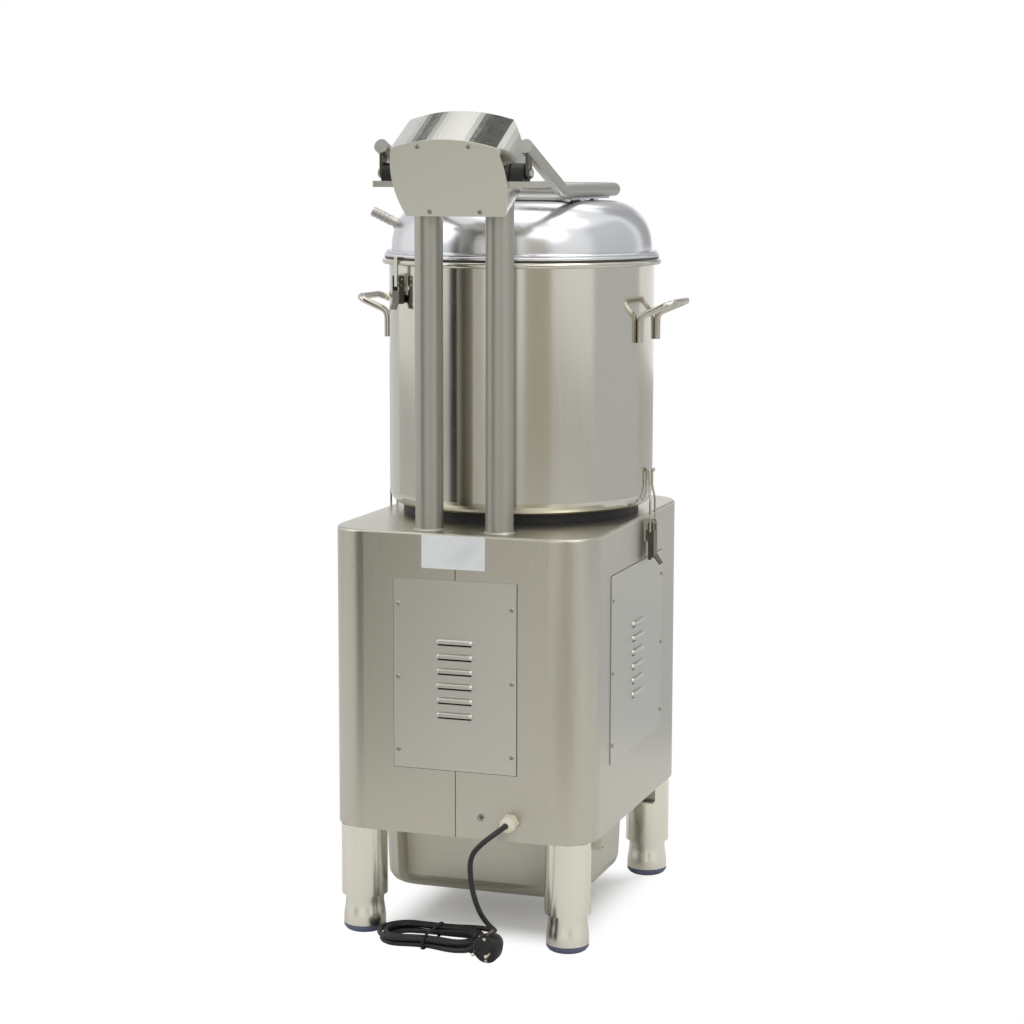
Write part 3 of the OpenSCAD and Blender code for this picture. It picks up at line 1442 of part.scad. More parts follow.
// Least gap between runs of the hank that lie more than a third of a turn apart
function hank_gap() = min([for (i = [0:len(hank_points) - 1], j = [0:len(hank_points) - 1])
    if (j - i > hank_steps / 3) norm(hank_points[i] - hank_points[j])]) - cable_d;
echo(hank_ends = [hank_points[0], hank_points[len(hank_points) - 1]], hank_least_gap = hank_gap());

module cord_hank() { color([0.06, 0.06, 0.06]) tube_along(hank_points, cable_d / 2, 6); }

tie_w = 5;
tie_slack = 0.5;

module cord_tie() {
    reach = hank_bend_r + hank_step * hank_turn_in - hank_pinch + cable_d / 2 + tie_slack;
    high = 2 * cable_d + 0.8 + hank_lift + tie_t + tie_slack;
    color([0.10, 0.10, 0.10]) translate([hank_x - tie_w / 2, hank_y, 0]) rotate([90, 0, 90]) linear_extrude(tie_w) difference() {
        translate([0, (high + tie_t + hank_lift) / 2]) rounded_rect(2 * (reach + tie_t), high + tie_t - hank_lift, cable_d / 2);
        translate([0, (high + tie_t + hank_lift) / 2]) rounded_rect(2 * reach, high - tie_t - hank_lift, cable_d / 2 - tie_t);
    }
}

// Angled plug that lies on its edge, with its pins towards +Y and slightly down

plug_place = [-66, 282, 21.1];
plug_turn = [-8, 0, -8];
plug_depth = 34;
pin_gap = 19;
neck_in = [10, -2, -4];
neck_r = 6.5;
neck_end = [-34.5, 276.5, 10.6];
neck_dir = (plug_place + neck_in - neck_end) / norm(plug_place + neck_in - neck_end);

// Mains lead: the free stretch hangs from the gland to the hank on the floor, the tail runs on to the plug
hank_first = hank_points[0];
hank_last = hank_points[len(hank_points) - 1];
hank_in_dir = path_dir(hank_points, 0);
hank_out_dir = path_dir(hank_points, len(hank_points) - 1);
lead_points = concat([
    [-80, 262, 181], [-80, 271, 181], [-78, 280.8, 179.6], [-73.4, 289.9, 176.1], [-66.4, 296.8, 170.5], [-57.9, 300.4, 162.7],
    [-48.7, 300.1, 151.5], [-43.7, 298, 138.1], [-43.2, 296.7, 123.4], [-43.6, 294, 108], [-44.9, 289, 92], [-46.7, 282, 76.5],
    [-48.9, 273, 62], [-51.2, 262, 49.5], [-53, 250, 39], [-53.6, 237, 30.4], [-51.8, 224, 23.9], [-47, 211.5, 19.2],
    [-38.6, 200.8, 16.1], [-27, 193.2, 14.3], [-13.5, 189.2, 13.1], [-0.1, 189.6, 12.5], [11.8, 192.5, 12.7]
], [for (d = [10, seat]) hank_first - d * hank_in_dir]);
tail_points = concat([for (d = [seat, 6]) hank_last + d * hank_out_dir], [
    [20, 262.4, 4.5], [10, 264.6, 4.3], [0, 267.3, 4.5], [-10.5, 270.5, 5.4], [-19.5, 273.1, 6.9]
], [for (d = [7, seat]) neck_end - d * neck_dir]);

module power_cord() {
    color([0.06, 0.06, 0.06]) {
        tube_along(lead_points, cable_d / 2, 8);
        tube_along(tail_points, cable_d / 2, 8);
    }
}

module at_plug() { translate(plug_place) rotate(plug_turn) children(); }

module power_plug() {
    back = plug_depth * 0.55;
    color([0.07, 0.07, 0.07]) {
        at_plug() difference() {
            rotate([-90, 0, 0]) {
                translate([0, 0, -back]) cylinder(r1 = plug_r * 0.6, r2 = plug_r * 0.96, h = back);
                cylinder(r = plug_r, h = plug_depth - back);
            }
            for (s = [-1, 1]) translate([s * pin_gap / 2, plug_depth - back - 1, 0]) rotate([-90, 0, 0]) cylinder(r = plug_pin_r + run, h = 2 + over, $fn = 32);
            for (s = [-1, 1]) translate([-4, plug_depth - back - 12, s * (plug_r - 1.2) - 2]) cube([8, 14, 4]);
        }
        bar(plug_place + neck_in, neck_end, neck_r);
    }
}

module plug_pins() {
    front = plug_depth * 0.45;
    color([0.78, 0.74, 0.62]) at_plug() for (s = [-1, 1]) translate([s * pin_gap / 2, front - 1, 0]) rotate([-90, 0, 0]) {
        cylinder(r = plug_pin_r - 0.3, h = plug_pin_l / 2, $fn = 32);
        translate([0, 0, 1 + clear]) cylinder(r = plug_pin_r, h = plug_pin_l - plug_pin_r - clear, $fn = 32);
        translate([0, 0, plug_pin_l + 1 - plug_pin_r]) sphere(r = plug_pin_r, $fn = 32);
    }
}

cabinet_shell();
base_plate();
rear_panel();
side_panels();
screws();
legs();
foot_at(-1, -1);  // foot_front_left
foot_at(1, -1);  // foot_front_right
foot_at(-1, 1);  // foot_rear_left
foot_at(1, 1);  // foot_rear_right
pad_at(-1, -1);  // pad_front_left
pad_at(1, -1);  // pad_front_right
pad_at(-1, 1);  // pad_rear_left
pad_at(1, 1);  // pad_rear_right
tray_runners();
waste_tray();
waste_duct();
cable_gland();
drum();
drum_collar();
drum_handles();
discharge_chute();
discharge_door();
door_gasket();
door_handle();
door_fittings();
latch_bases();
color([0.62, 0.61, 0.57]) latch_lever();  // latch_lever_right
color([0.62, 0.61, 0.57]) mirror([1, 0, 0]) latch_lever();  // latch_lever_left
color([0.72, 0.71, 0.68]) latch_bail();  // latch_bail_right
color([0.72, 0.71, 0.68]) mirror([1, 0, 0]) latch_bail();  // latch_bail_left
lid_latch_lever();
lid_latch_hook();
columns();
hinge_bracket();
hinge_blocks();
head_shell();
head_back_plate();
control_panel();
timer_knob();
start_button();
stop_button();
control_switches();
lid_arm();
lid_plate();
lid_dome();
lid_gasket();
water_nozzle();
abrasive_disc();
spindle();
bearing_housing();
disc_pulley();
motor();
motor_pulley();
drive_belt();
power_cord();
cord_hank();
cord_tie();
power_plug();
plug_pins();
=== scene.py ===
"""Looks for an electric potato peeler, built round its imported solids.

Everything is in metres in the part's own frame: +Z up, the operator at -Y, the access panel at +Y.
"""

import json
import logging
from dataclasses import dataclass, field
from enum import Enum
from math import copysign, cos, pi, radians, sin
from typing import Any, Callable, Iterable, Sequence

import bmesh
import bpy
from mathutils import Color, Euler, Matrix, Vector

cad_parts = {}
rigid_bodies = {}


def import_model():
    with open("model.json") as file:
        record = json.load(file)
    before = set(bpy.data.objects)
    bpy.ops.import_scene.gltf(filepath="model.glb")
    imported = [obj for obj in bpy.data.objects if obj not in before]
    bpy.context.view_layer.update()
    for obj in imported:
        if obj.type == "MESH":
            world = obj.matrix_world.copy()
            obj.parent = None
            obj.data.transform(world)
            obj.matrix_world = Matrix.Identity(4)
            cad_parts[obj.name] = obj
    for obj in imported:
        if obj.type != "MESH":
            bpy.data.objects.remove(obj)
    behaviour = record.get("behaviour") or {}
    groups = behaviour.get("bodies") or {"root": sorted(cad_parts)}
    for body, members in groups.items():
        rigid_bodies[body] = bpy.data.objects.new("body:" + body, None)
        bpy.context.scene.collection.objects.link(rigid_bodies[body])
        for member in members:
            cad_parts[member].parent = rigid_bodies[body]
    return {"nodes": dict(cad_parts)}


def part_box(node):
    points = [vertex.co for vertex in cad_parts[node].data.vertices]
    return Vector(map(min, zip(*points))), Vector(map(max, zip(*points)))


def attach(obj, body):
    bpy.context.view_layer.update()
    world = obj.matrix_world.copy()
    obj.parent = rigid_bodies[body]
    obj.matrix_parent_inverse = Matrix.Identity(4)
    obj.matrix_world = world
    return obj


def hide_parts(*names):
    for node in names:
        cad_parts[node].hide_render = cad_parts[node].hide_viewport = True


LOG = logging.getLogger("peeler")
MM = 0.001
Point = tuple[float, float, float]
Colour = tuple[float, float, float]
Pair = tuple[float, float]
Ring = list[bmesh.types.BMVert]


def mm(*values: float) -> Vector:
    """A point given in millimetres, in metres."""
    return Vector(values) * MM


def show(name: str, data: bpy.types.ID) -> bpy.types.Object:
    """Makes an object of a mesh, curve, lamp or camera and links it to the scene.

    Args:
        name: The object's name.
        data: What it shows.

    Returns:
        The object.
    """
    made = bpy.data.objects.new(name, data)
    bpy.context.scene.collection.objects.link(made)
    return made


@dataclass(frozen=True)
class Wire:
    """A shader socket that takes part in sums."""

    board: "Board"
    socket: bpy.types.NodeSocket

    def __add__(self, other: "Wire | float") -> "Wire":
        """Sum."""
        return self.board.sum("ADD", self, other)

    __radd__ = __add__

    def __sub__(self, other: "Wire | float") -> "Wire":
        """Difference."""
        return self.board.sum("SUBTRACT", self, other)

    def __rsub__(self, other: float) -> "Wire":
        """Difference from a number."""
        return self.board.sum("SUBTRACT", other, self)

    def __mul__(self, other: "Wire | float") -> "Wire":
        """Product."""
        return self.board.sum("MULTIPLY", self, other)

    def size(self) -> "Wire":
        """Distance from zero."""
        return self.board.sum("ABSOLUTE", self)

    def below(self, limit: float) -> "Wire":
        """1 where the value is under the limit, else 0."""
        return self.board.sum("LESS_THAN", self, limit)

    def above(self, limit: float) -> "Wire":
        """1 where the value is over the limit, else 0."""
        return self.board.sum("GREATER_THAN", self, limit)

    def fade(self, low: float, high: float) -> "Wire":
        """0 under low, 1 over high, and smooth between them."""
        made = self.board.node("MapRange", {0: self, 1: low, 2: high}, interpolation_type="SMOOTHSTEP")
        return Wire(self.board, made.outputs[0])


class Board:
    """The nodes of one material, round one Principled shader."""

    def __init__(self, name: str) -> None:
        """Makes an empty material with its shader and output.

        Args:
            name: The material's name.
        """
        self.material = bpy.data.materials.new(name)
        self.material.use_nodes = True
        self.tree = self.material.node_tree
        self.tree.nodes.clear()
        self.output = self.tree.nodes.new("ShaderNodeOutputMaterial")
        self.shader = self.tree.nodes.new("ShaderNodeBsdfPrincipled")
        self.tree.links.new(self.shader.outputs[0], self.output.inputs[0])
        self.place = self.tree.nodes.new("ShaderNodeTexCoord").outputs["Object"]

    def feed(self, socket: bpy.types.NodeSocket, value: Any) -> None:
        """Links a wire or a socket, or writes a value.

        Args:
            socket: The input socket.
            value: A wire, an output socket, a number, or a colour or vector.
        """
        if isinstance(value, Wire):
            self.tree.links.new(value.socket, socket)
        elif isinstance(value, bpy.types.NodeSocket):
            self.tree.links.new(value, socket)
        elif socket.type == "RGBA" and len(value) == 3:
            socket.default_value = (*value, 1.0)
        else:
            socket.default_value = value

    def node(self, kind: str, sockets: dict[Any, Any], **settings: str) -> bpy.types.Node:
        """Adds a shader node, sets it, then fills its sockets.

        Args:
            kind: The node's type.
            sockets: Values or links by socket name or number.
            **settings: Its settings, set first.

        Returns:
            The node.
        """
        made = self.tree.nodes.new("ShaderNode" + kind)
        for key, value in settings.items():
            setattr(made, key, value)
        for key, value in sockets.items():
            self.feed(made.inputs[key], value)
        return made

    def sum(self, operation: str, *values: "Wire | float") -> Wire:
        """One Math node.

        Args:
            operation: Its operation.
            *values: Its inputs in order.

        Returns:
            The result.
        """
        made = self.node("Math", dict(enumerate(values)), operation=operation)
        return Wire(self, made.outputs[0])

    def axes(self) -> tuple[Wire, ...]:
        """The place on the object as three numbers."""
        return tuple(Wire(self, out) for out in self.node("SeparateXYZ", {0: self.place}).outputs)

    def noise(self, scale: Point, detail: float = 3.0, rough: float = 0.5) -> Wire:
        """Noise from 0 to 1 over the stretched place.

        Args:
            scale: Waves per metre along each axis.
            detail: Octaves.
            rough: How much the octaves weigh.

        Returns:
            The noise.
        """
        place = self.node("Mapping", {"Vector": self.place, "Scale": scale}).outputs[0]
        made = self.node("TexNoise", {"Vector": place, "Scale": 1.0, "Detail": detail, "Roughness": rough})
        return Wire(self, made.outputs["Fac"])

    def mix(self, share: "Wire | float", first: Any, second: Any) -> bpy.types.NodeSocket:
        """A colour between two colours.

        Args:
            share: How much of the second, from 0 to 1.
            first: The first colour.
            second: The second colour.

        Returns:
            The colour socket.
        """
        return self.node("Mix", {0: share, 6: first, 7: second}, data_type="RGBA").outputs[2]

    def bump(self, height: Wire, strength: float, distance: float) -> None:
        """Feeds a bump into the shader's normal.

        Args:
            height: The height, in units of the distance.
            strength: How strongly it shows.
            distance: The height's size in metres.
        """
        made = self.node("Bump", {"Strength": strength, "Distance": distance, "Height": height})
        self.feed(self.shader.inputs["Normal"], made.outputs[0])

    def finish(self, **sockets: Any) -> bpy.types.Material:
        """Fills the shader's sockets, named with underscores for spaces.

        Args:
            **sockets: Values or links.

        Returns:
            The material.
        """
        for key, value in sockets.items():
            self.feed(self.shader.inputs[key.replace("_", " ")], value)
        return self.material


class Grain(Enum):
    """The way in which steel is brushed: waves per metre along X, Y and Z."""

    UPRIGHT = (900.0, 900.0, 9.0)
    ALONG_X = (9.0, 900.0, 900.0)
    FINE = (500.0, 500.0, 500.0)


@dataclass(frozen=True)
class Finish:
    """How a surface looks, with its colour on screen in parts from 0 to 255."""

    name: str
    colour: Colour

    def shade(self, share: float = 1.0, lift: float = 0.0) -> tuple[float, ...]:
        """Its scene-linear colour, made darker or lighter.

        Args:
            share: What each part is multiplied by.
            lift: What each part is then raised by.

        Returns:
            The colour, with parts up to 1.
        """
        base = Color([part / 255 for part in self.colour]).from_srgb_to_scene_linear()
        return tuple(min(part * share + lift, 1.0) for part in base)


@dataclass(frozen=True)
class Steel(Finish):
    """Brushed or satin sheet metal, a little uneven, with handling marks."""

    roughness: float
    grain_share: float
    cloud_share: float
    bump: float
    grain: Grain = Grain.FINE
    # Where the colour goes dark: on the cabinet, its rear seam and painted shade in the gaps round its
    # panels.
    dark: Callable[[Board], Wire] | None = None
    clouds: Point = (7.0, 7.0, 2.5)
    marks: Point = (60.0, 60.0, 40.0)
    marks_from: Pair = (0.60, 0.80)
    spread: float = 0.45
    line: float = 0.12
    uneven: Point = (0.16, 0.10, 0.05)
    depth: float = 0.0002

    def build(self) -> bpy.types.Material:
        """Makes the material.

        Returns:
            The material.
        """
        board = Board(self.name)
        streak = board.noise(self.grain.value, 4.0, 0.6)
        broad = board.noise(self.clouds)
        spots = board.noise(self.marks, 4.0, 0.65).fade(*self.marks_from)
        tone = (streak - 0.5) * self.grain_share + (broad - 0.5) * self.cloud_share + 0.5
        colour = board.mix(tone, self.shade(1 - self.spread), self.shade(1 + self.spread))
        # Painted shade: the colour goes dark in the gaps round the panels, where shade falls; the rear seam
        # line is a dark joint.
        if self.dark is not None:
            colour = board.mix(self.dark(board), colour, self.shade(self.line))
        streaky, cloudy, marked = self.uneven
        rough = self.roughness + (streak - 0.5) * streaky + (broad - 0.5) * cloudy + spots * marked
        board.bump(streak, self.bump, self.depth)
        return board.finish(Base_Color=colour, Metallic=1.0, Roughness=rough)


@dataclass(frozen=True)
class Plastic(Finish):
    """Moulded plastic or rubber with a fine grain and faint scuffs."""

    roughness: float
    grain: float = 900.0
    bump: float = 0.15
    scuffs: float = 25.0
    darkest: float = 0.82
    lightest: float = 1.2
    lift: float = 0.004
    uneven: float = 0.14
    depth: float = 0.0001

    def build(self) -> bpy.types.Material:
        """Makes the material.

        Returns:
            The material.
        """
        board = Board(self.name)
        fine = board.noise((self.grain,) * 3, 2.0)
        broad = board.noise((self.scuffs,) * 3)
        board.bump(fine, self.bump, self.depth)
        colour = board.mix(broad, self.shade(self.darkest), self.shade(self.lightest, self.lift))
        rough = self.roughness + (broad - 0.5) * self.uneven
        return board.finish(Base_Color=colour, Roughness=rough)


@dataclass(frozen=True)
class Grit(Finish):
    """Carbide grains in a dark binder, as on a peeling disc."""

    cells: float = 420.0
    sparks: float = 700.0
    sparks_from: Pair = (0.62, 0.7)
    pale: float = 2.6
    roughness: float = 0.62
    gloss: float = 0.3
    bump: float = 0.9
    depth: float = 0.0009

    def build(self) -> bpy.types.Material:
        """Makes the material.

        Returns:
            The material.
        """
        board = Board(self.name)
        grains = board.node("TexVoronoi", {"Vector": board.place, "Scale": self.cells}, feature="F1")
        height = Wire(board, grains.outputs["Distance"])
        sparkle = board.noise((self.sparks,) * 3, 2.0).fade(*self.sparks_from)
        board.bump(height, self.bump, self.depth)
        colour = board.mix(sparkle, self.shade(), self.shade(self.pale))
        return board.finish(Base_Color=colour, Roughness=self.roughness - sparkle * self.gloss)


def seam_and_gap_shade(board: Board) -> Wire:
    """Dark lines on the cabinet: the middle seam of its rear face, a dark joint, and painted shade in the
    gaps round the three panels.

    Args:
        board: The cabinet's board.

    Returns:
        1 on a line, else 0.
    """
    x, y, z = board.axes()
    gap, line = 0.0009, 0.0006
    rear_from, seam_x = 0.2365, -0.0005
    low, rear_half, rear_high = 0.245, 0.0875, 0.504
    side_from, side_y, side_half, side_high = 0.1865, 0.0085, 0.128, 0.505
    rear = y.above(rear_from)
    seam = (x - seam_x).size().below(line) * rear

    def frame(across: Wire, half: float, high: float) -> Wire:
        """A rectangle with a thin border of painted shade, whose inside is under its panel."""
        return across.size().below(half + gap) * z.above(low - gap) * z.below(high + gap)

    back = frame(x, rear_half, rear_high) * rear
    side = frame(y - side_y, side_half, side_high) * x.size().above(side_from)
    return board.sum("MAXIMUM", seam, board.sum("MAXIMUM", back, side))


class Workshop:
    """Makes meshes and the materials that they share."""

    def __init__(self) -> None:
        """Makes every finish once."""
        self.finishes: dict[str, bpy.types.Material] = {}
        for finish in (
            # The cabinet's dark lines: its rear seam, and painted shade round the panels.
            Steel("cabinet steel", (194, 191, 178), 0.30, 0.07, 0.10, 0.03, Grain.UPRIGHT, seam_and_gap_shade),
            Steel("panel steel", (201, 199, 190), 0.36, 0.06, 0.08, 0.02, Grain.UPRIGHT),
            Steel("tube steel", (172, 170, 161), 0.42, 0.08, 0.06, 0.04, Grain.UPRIGHT),
            Steel("leg steel", (255, 248, 212), 0.24, 0.02, 0.05, 0.005),
            Steel("dull steel", (104, 100, 90), 0.30, 0.10, 0.08, 0.05),
            Steel("screw steel", (158, 155, 146), 0.22, 0.06, 0.05, 0.02),
            Steel("drum steel", (204, 201, 190), 0.15, 0.08, 0.08, 0.02, Grain.UPRIGHT),
            Steel("head steel", (234, 231, 213), 0.165, 0.08, 0.06, 0.015, Grain.ALONG_X),
            Steel("plate steel", (203, 203, 190), 0.40, 0.05, 0.05, 0.02, Grain.ALONG_X),
            Steel("bright steel", (196, 192, 180), 0.18, 0.06, 0.06, 0.03),
            Steel("arm steel", (182, 180, 173), 0.38, 0.04, 0.06, 0.02),
            Steel("tray steel", (188, 185, 172), 0.34, 0.08, 0.14, 0.04),
            Steel("spun aluminium", (219, 223, 230), 0.23, 0.03, 0.05, 0.01),
            Steel("cast iron", (104, 104, 104), 0.55, 0.30, 0.20, 0.5),
            Steel("nickel", (214, 208, 190), 0.2, 0.06, 0.05, 0.03),
            Plastic("black rubber", (22, 22, 23), 0.55),
            Plastic("seal rubber", (74, 67, 52), 0.35),
            Plastic("black plastic", (20, 20, 21), 0.42),
            Plastic("cable sheath", (24, 24, 25), 0.48, 700.0, 0.1),
            Plastic("blue-grey foot pad", (92, 98, 124), 0.5),
            Plastic("ivory nylon", (226, 221, 204), 0.38),
            Plastic("green plastic", (30, 122, 58), 0.3, 900.0, 0.05),
            Plastic("red plastic", (176, 26, 22), 0.3, 900.0, 0.05),
            Plastic("blue-grey motor paint", (66, 82, 98), 0.4, 300.0, 0.3),
            Plastic("label paper", (226, 229, 230), 0.45, 1500.0, 0.05),
            Grit("abrasive grit", (72, 68, 64)),
        ):
            self.finishes[finish.name] = finish.build()

    def mesh(self, name: str, maker: bmesh.types.BMesh, finish: str, angle: float) -> bpy.types.Object:
        """Turns a bmesh into a smooth-shaded object with sharp edges past an angle.

        Args:
            name: The piece's name.
            maker: The bmesh, which is freed.
            finish: The finish's name.
            angle: The angle in degrees past which an edge is sharp.

        Returns:
            The object.
        """
        bmesh.ops.remove_doubles(maker, verts=maker.verts, dist=1e-6)
        bmesh.ops.recalc_face_normals(maker, faces=maker.faces)
        data = bpy.data.meshes.new(name)
        maker.to_mesh(data)
        maker.free()
        return self.wrap(name, data, finish, angle)

    def wrap(self, name: str, data: bpy.types.Mesh, finish: str, angle: float) -> bpy.types.Object:
        """Makes an object of a mesh.

        Args:
            name: The piece's name.
            data: The mesh.
            finish: The finish's name.
            angle: The angle in degrees past which an edge is sharp.

        Returns:
            The object.
        """
        data.polygons.foreach_set("use_smooth", [True] * len(data.polygons))
        data.set_sharp_from_angle(angle=radians(angle))
        data.materials.clear()
        data.materials.append(self.finishes[finish])
        return show(name, data)


def loft(maker: bmesh.types.BMesh, rings: Sequence[Ring], caps: bool = False) -> None:
    """Joins each ring of corners to the next with faces.

    Args:
        maker: The bmesh.
        rings: The rings; one of a single corner closes an end to a point.
        caps: Whether the first and the last ring are filled.
    """
    if caps:
        maker.faces.new(rings[0])
        maker.faces.new(rings[-1][::-1])
    for low, high in zip(rings, rings[1:]):
        for k in range(max(len(low), len(high))):
            j = k + 1
            corners = (low[k % len(low)], low[j % len(low)], high[j % len(high)], high[k % len(high)])
            unique = list(dict.fromkeys(corners))
            if len(unique) > 2:
                maker.faces.new(unique)


def lathe(maker: bmesh.types.BMesh, profile: Sequence[Pair], place: Matrix, steps: int) -> None:
    """Adds a turned solid to a bmesh.

    Args:
        maker: The bmesh.
        profile: Radius and height pairs in millimetres; a radius of zero closes an end.
        place: Where the turning axis, Z, goes.
        steps: Faces round the axis.
    """
    turns = [2 * pi * k / steps for k in range(steps)]
    rings: list[Ring] = []
    for radius, height in profile:
        around = turns if radius else turns[:1]
        spots = (mm(radius * cos(turn), radius * sin(turn), height) for turn in around)
        rings.append([maker.verts.new(place @ spot) for spot in spots])
    loft(maker, rings)


def rounded(wide: float, high: float, corner: float) -> list[Pair]:
    """The outline of a rectangle with round corners.

    Args:
        wide: Half its width.
        high: Half its height.
        corner: The corners' radius.

    Returns:
        Its points round the middle.
    """
    out: list[Pair] = []
    for quarter, (x, y) in enumerate(((1, 1), (-1, 1), (-1, -1), (1, -1))):
        for k in range(5):
            turn = radians(90 * quarter + 22.5 * k)
            out.append((x * (wide - corner) + corner * cos(turn), y * (high - corner) + corner * sin(turn)))
    return out


def there_and_back(points: Sequence[Vector], axis: int, middle: float = 0.0) -> list[Vector]:
    """A path along the points and back along their mirror image.

    Args:
        points: The points of the first half.
        axis: The number of the axis that is mirrored.
        middle: The mirror's place on it in metres.

    Returns:
        The whole path.
    """
    out = list(points)
    for point in reversed(points):
        other = point.copy()
        other[axis] = 2 * middle - other[axis]
        out.append(other)
    return out


def axis_of(node: str) -> Matrix:
    """The upright axis through the middle of a solid's box.

    Args:
        node: The solid's name.

    Returns:
        The axis's place, at floor height.
    """
    low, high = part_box(node)
    return Matrix.Translation(((low[0] + high[0]) / 2, (low[1] + high[1]) / 2, 0.0))


def smooth_path(points: Sequence[Vector], steps: int) -> list[Vector]:
    """Points on a smooth curve through the given ones.

    Args:
        points: The points that it passes through.
        steps: Points for each stretch.

    Returns:
        The denser points.
    """
    out: list[Vector] = []
    last = len(points) - 1
    for i in range(last):
        before, start, end, after = points[max(i - 1, 0)], points[i], points[i + 1], points[min(i + 2, last)]
        for k in range(steps):
            t = k / steps
            bow = 2 * before - 5 * start + 4 * end - after
            twist = 3 * start - before - 3 * end + after
            out.append(0.5 * (2 * start + (end - before) * t + bow * t * t + twist * t ** 3))
    out.append(points[last].copy())
    return out


class TubeRecipe:
    """Geometry Nodes that bend a round rod along a path of straight runs."""

    def __init__(self, shop: Workshop) -> None:
        """Builds the tree with its inputs for radius, bend and steps.

        Args:
            shop: Where the finishes are.
        """
        self.shop = shop
        self.tree = bpy.data.node_groups.new("bent rod", "GeometryNodeTree")
        face = self.tree.interface
        for way in ("INPUT", "OUTPUT"):
            face.new_socket("Geometry", in_out=way, socket_type="NodeSocketGeometry")
        self.ids: dict[str, str] = {}
        for name, kind in (("Radius", "Float"), ("Bend", "Float"), ("Sides", "Int"), ("Steps", "Int"),
                           ("Finish", "Material")):
            made = face.new_socket(name, in_out="INPUT", socket_type="NodeSocket" + kind)
            self.ids[name] = made.identifier
        entry, leave = (self.tree.nodes.new(f"NodeGroup{side}") for side in ("Input", "Output"))
        path, fillet, ring, skin, real, dress = (
            self.tree.nodes.new(f"GeometryNode{kind}")
            for kind in ("MeshToCurve", "FilletCurve", "CurvePrimitiveCircle", "CurveToMesh",
                         "RealizeInstances", "SetMaterial"))
        fillet.mode = "POLY"
        fillet.inputs["Limit Radius"].default_value = True
        skin.inputs["Fill Caps"].default_value = True
        given = entry.outputs
        for start, end in (
            (given["Geometry"], path.inputs[0]),
            (path.outputs[0], fillet.inputs["Curve"]),
            (given["Bend"], fillet.inputs["Radius"]),
            (given["Steps"], fillet.inputs["Count"]),
            (given["Radius"], ring.inputs["Radius"]),
            (given["Sides"], ring.inputs["Resolution"]),
            (fillet.outputs[0], skin.inputs["Curve"]),
            (ring.outputs[0], skin.inputs["Profile Curve"]),
            (skin.outputs[0], real.inputs[0]),
            (real.outputs[0], dress.inputs["Geometry"]),
            (given["Finish"], dress.inputs["Material"]),
            (dress.outputs[0], leave.inputs[0]),
        ):
            self.tree.links.new(start, end)

    def make(self, name: str, paths: Iterable[Sequence[Vector]], radius: float, bend: float, finish: str,
             sides: int, steps: int) -> bpy.types.Object:
        """Makes one mesh of one or more bent rods.

        Args:
            name: The piece's name.
            paths: The corners of each rod.
            radius: The rod's radius.
            bend: The bend's radius at each corner.
            finish: The finish's name.
            sides: Faces round the rod.
            steps: Points on each bend.

        Returns:
            The object.
        """
        verts: list[Vector] = []
        edges: list[tuple[int, int]] = []
        for path in paths:
            start = len(verts)
            verts.extend(path)
            edges.extend((start + k, start + k + 1) for k in range(len(path) - 1))
        data = bpy.data.meshes.new(name + " path")
        data.from_pydata(verts, edges, [])
        base = show(name + " path", data)
        modifier = base.modifiers.new("bent rod", "NODES")
        modifier.node_group = self.tree
        for key, value in (("Radius", radius), ("Bend", bend), ("Sides", sides), ("Steps", steps),
                           ("Finish", self.shop.finishes[finish])):
            modifier[self.ids[key]] = value
        graph = bpy.context.evaluated_depsgraph_get()
        mesh = bpy.data.meshes.new_from_object(base.evaluated_get(graph), depsgraph=graph)
        bpy.data.objects.remove(base)
        mesh.name = name
        return self.shop.wrap(name, mesh, finish, 50.0)


@dataclass
class Viewpoint:
    """The camera, fitted to the photograph."""

    place: Point = (-1.12955, 3.32349, 1.06374)
    yaw: float = 0.3277
    pitch: float = 0.1409
    roll: float = 0.0021
    focal: float = 2496.69
    frame: float = 1024.0
    sensor: float = 36.0

    def build(self) -> None:
        """Makes the camera and gives it to the scene."""
        data = bpy.data.cameras.new("camera")
        data.sensor_width = self.sensor
        data.lens = self.focal * self.sensor / self.frame
        data.clip_end = 50.0
        level = Vector((sin(self.yaw), -cos(self.yaw), 0.0))
        forward = level * cos(self.pitch) - Vector((0.0, 0.0, sin(self.pitch)))
        right = Vector((level.y, -level.x, 0.0))
        up = right.cross(forward)
        right, up = (right * cos(self.roll) + up * sin(self.roll),
                     up * cos(self.roll) - right * sin(self.roll))
        made = show("camera", data)
        turn = Matrix((right, up, -forward)).transposed().to_4x4()
        made.matrix_world = Matrix.Translation(self.place) @ turn
        bpy.context.scene.camera = made


@dataclass(frozen=True)
class Lamp:
    """A soft round lamp, aimed at a height over the middle of the floor."""

    place: Point
    aim: float
    width: float
    power: float


@dataclass(frozen=True)
class Card:
    """A card that only shows as a reflection: upright on the floor, or tilted overhead."""

    azimuth: float
    away: float
    width: float
    tone: Colour
    tilt: float = 0.0
    height: float = 3.2
    low: float = 0.02
    lying: bool = False
    head: Point = (0.0, 0.2, 1.1)

    def corners(self) -> list[Vector]:
        """Its corners.

        Returns:
            Four places. A tilted card faces the head, a lying one is level, the others stand.
        """
        turn, lift = radians(self.azimuth), radians(self.tilt)
        out = Vector((cos(turn) * cos(lift), sin(turn) * cos(lift), sin(lift)))
        side = Vector((-sin(turn), cos(turn), 0.0)) * self.width / 2
        rise = (out if self.lying else out.cross(side).normalized()) * self.height / 2
        if self.tilt:
            start = Vector(self.head)
        else:
            start = Vector((0.0, 0.0, self.low if self.lying else self.low + self.height / 2))
        middle = out * self.away + start
        return [middle - side - rise, middle + side - rise, middle + side + rise, middle - side + rise]


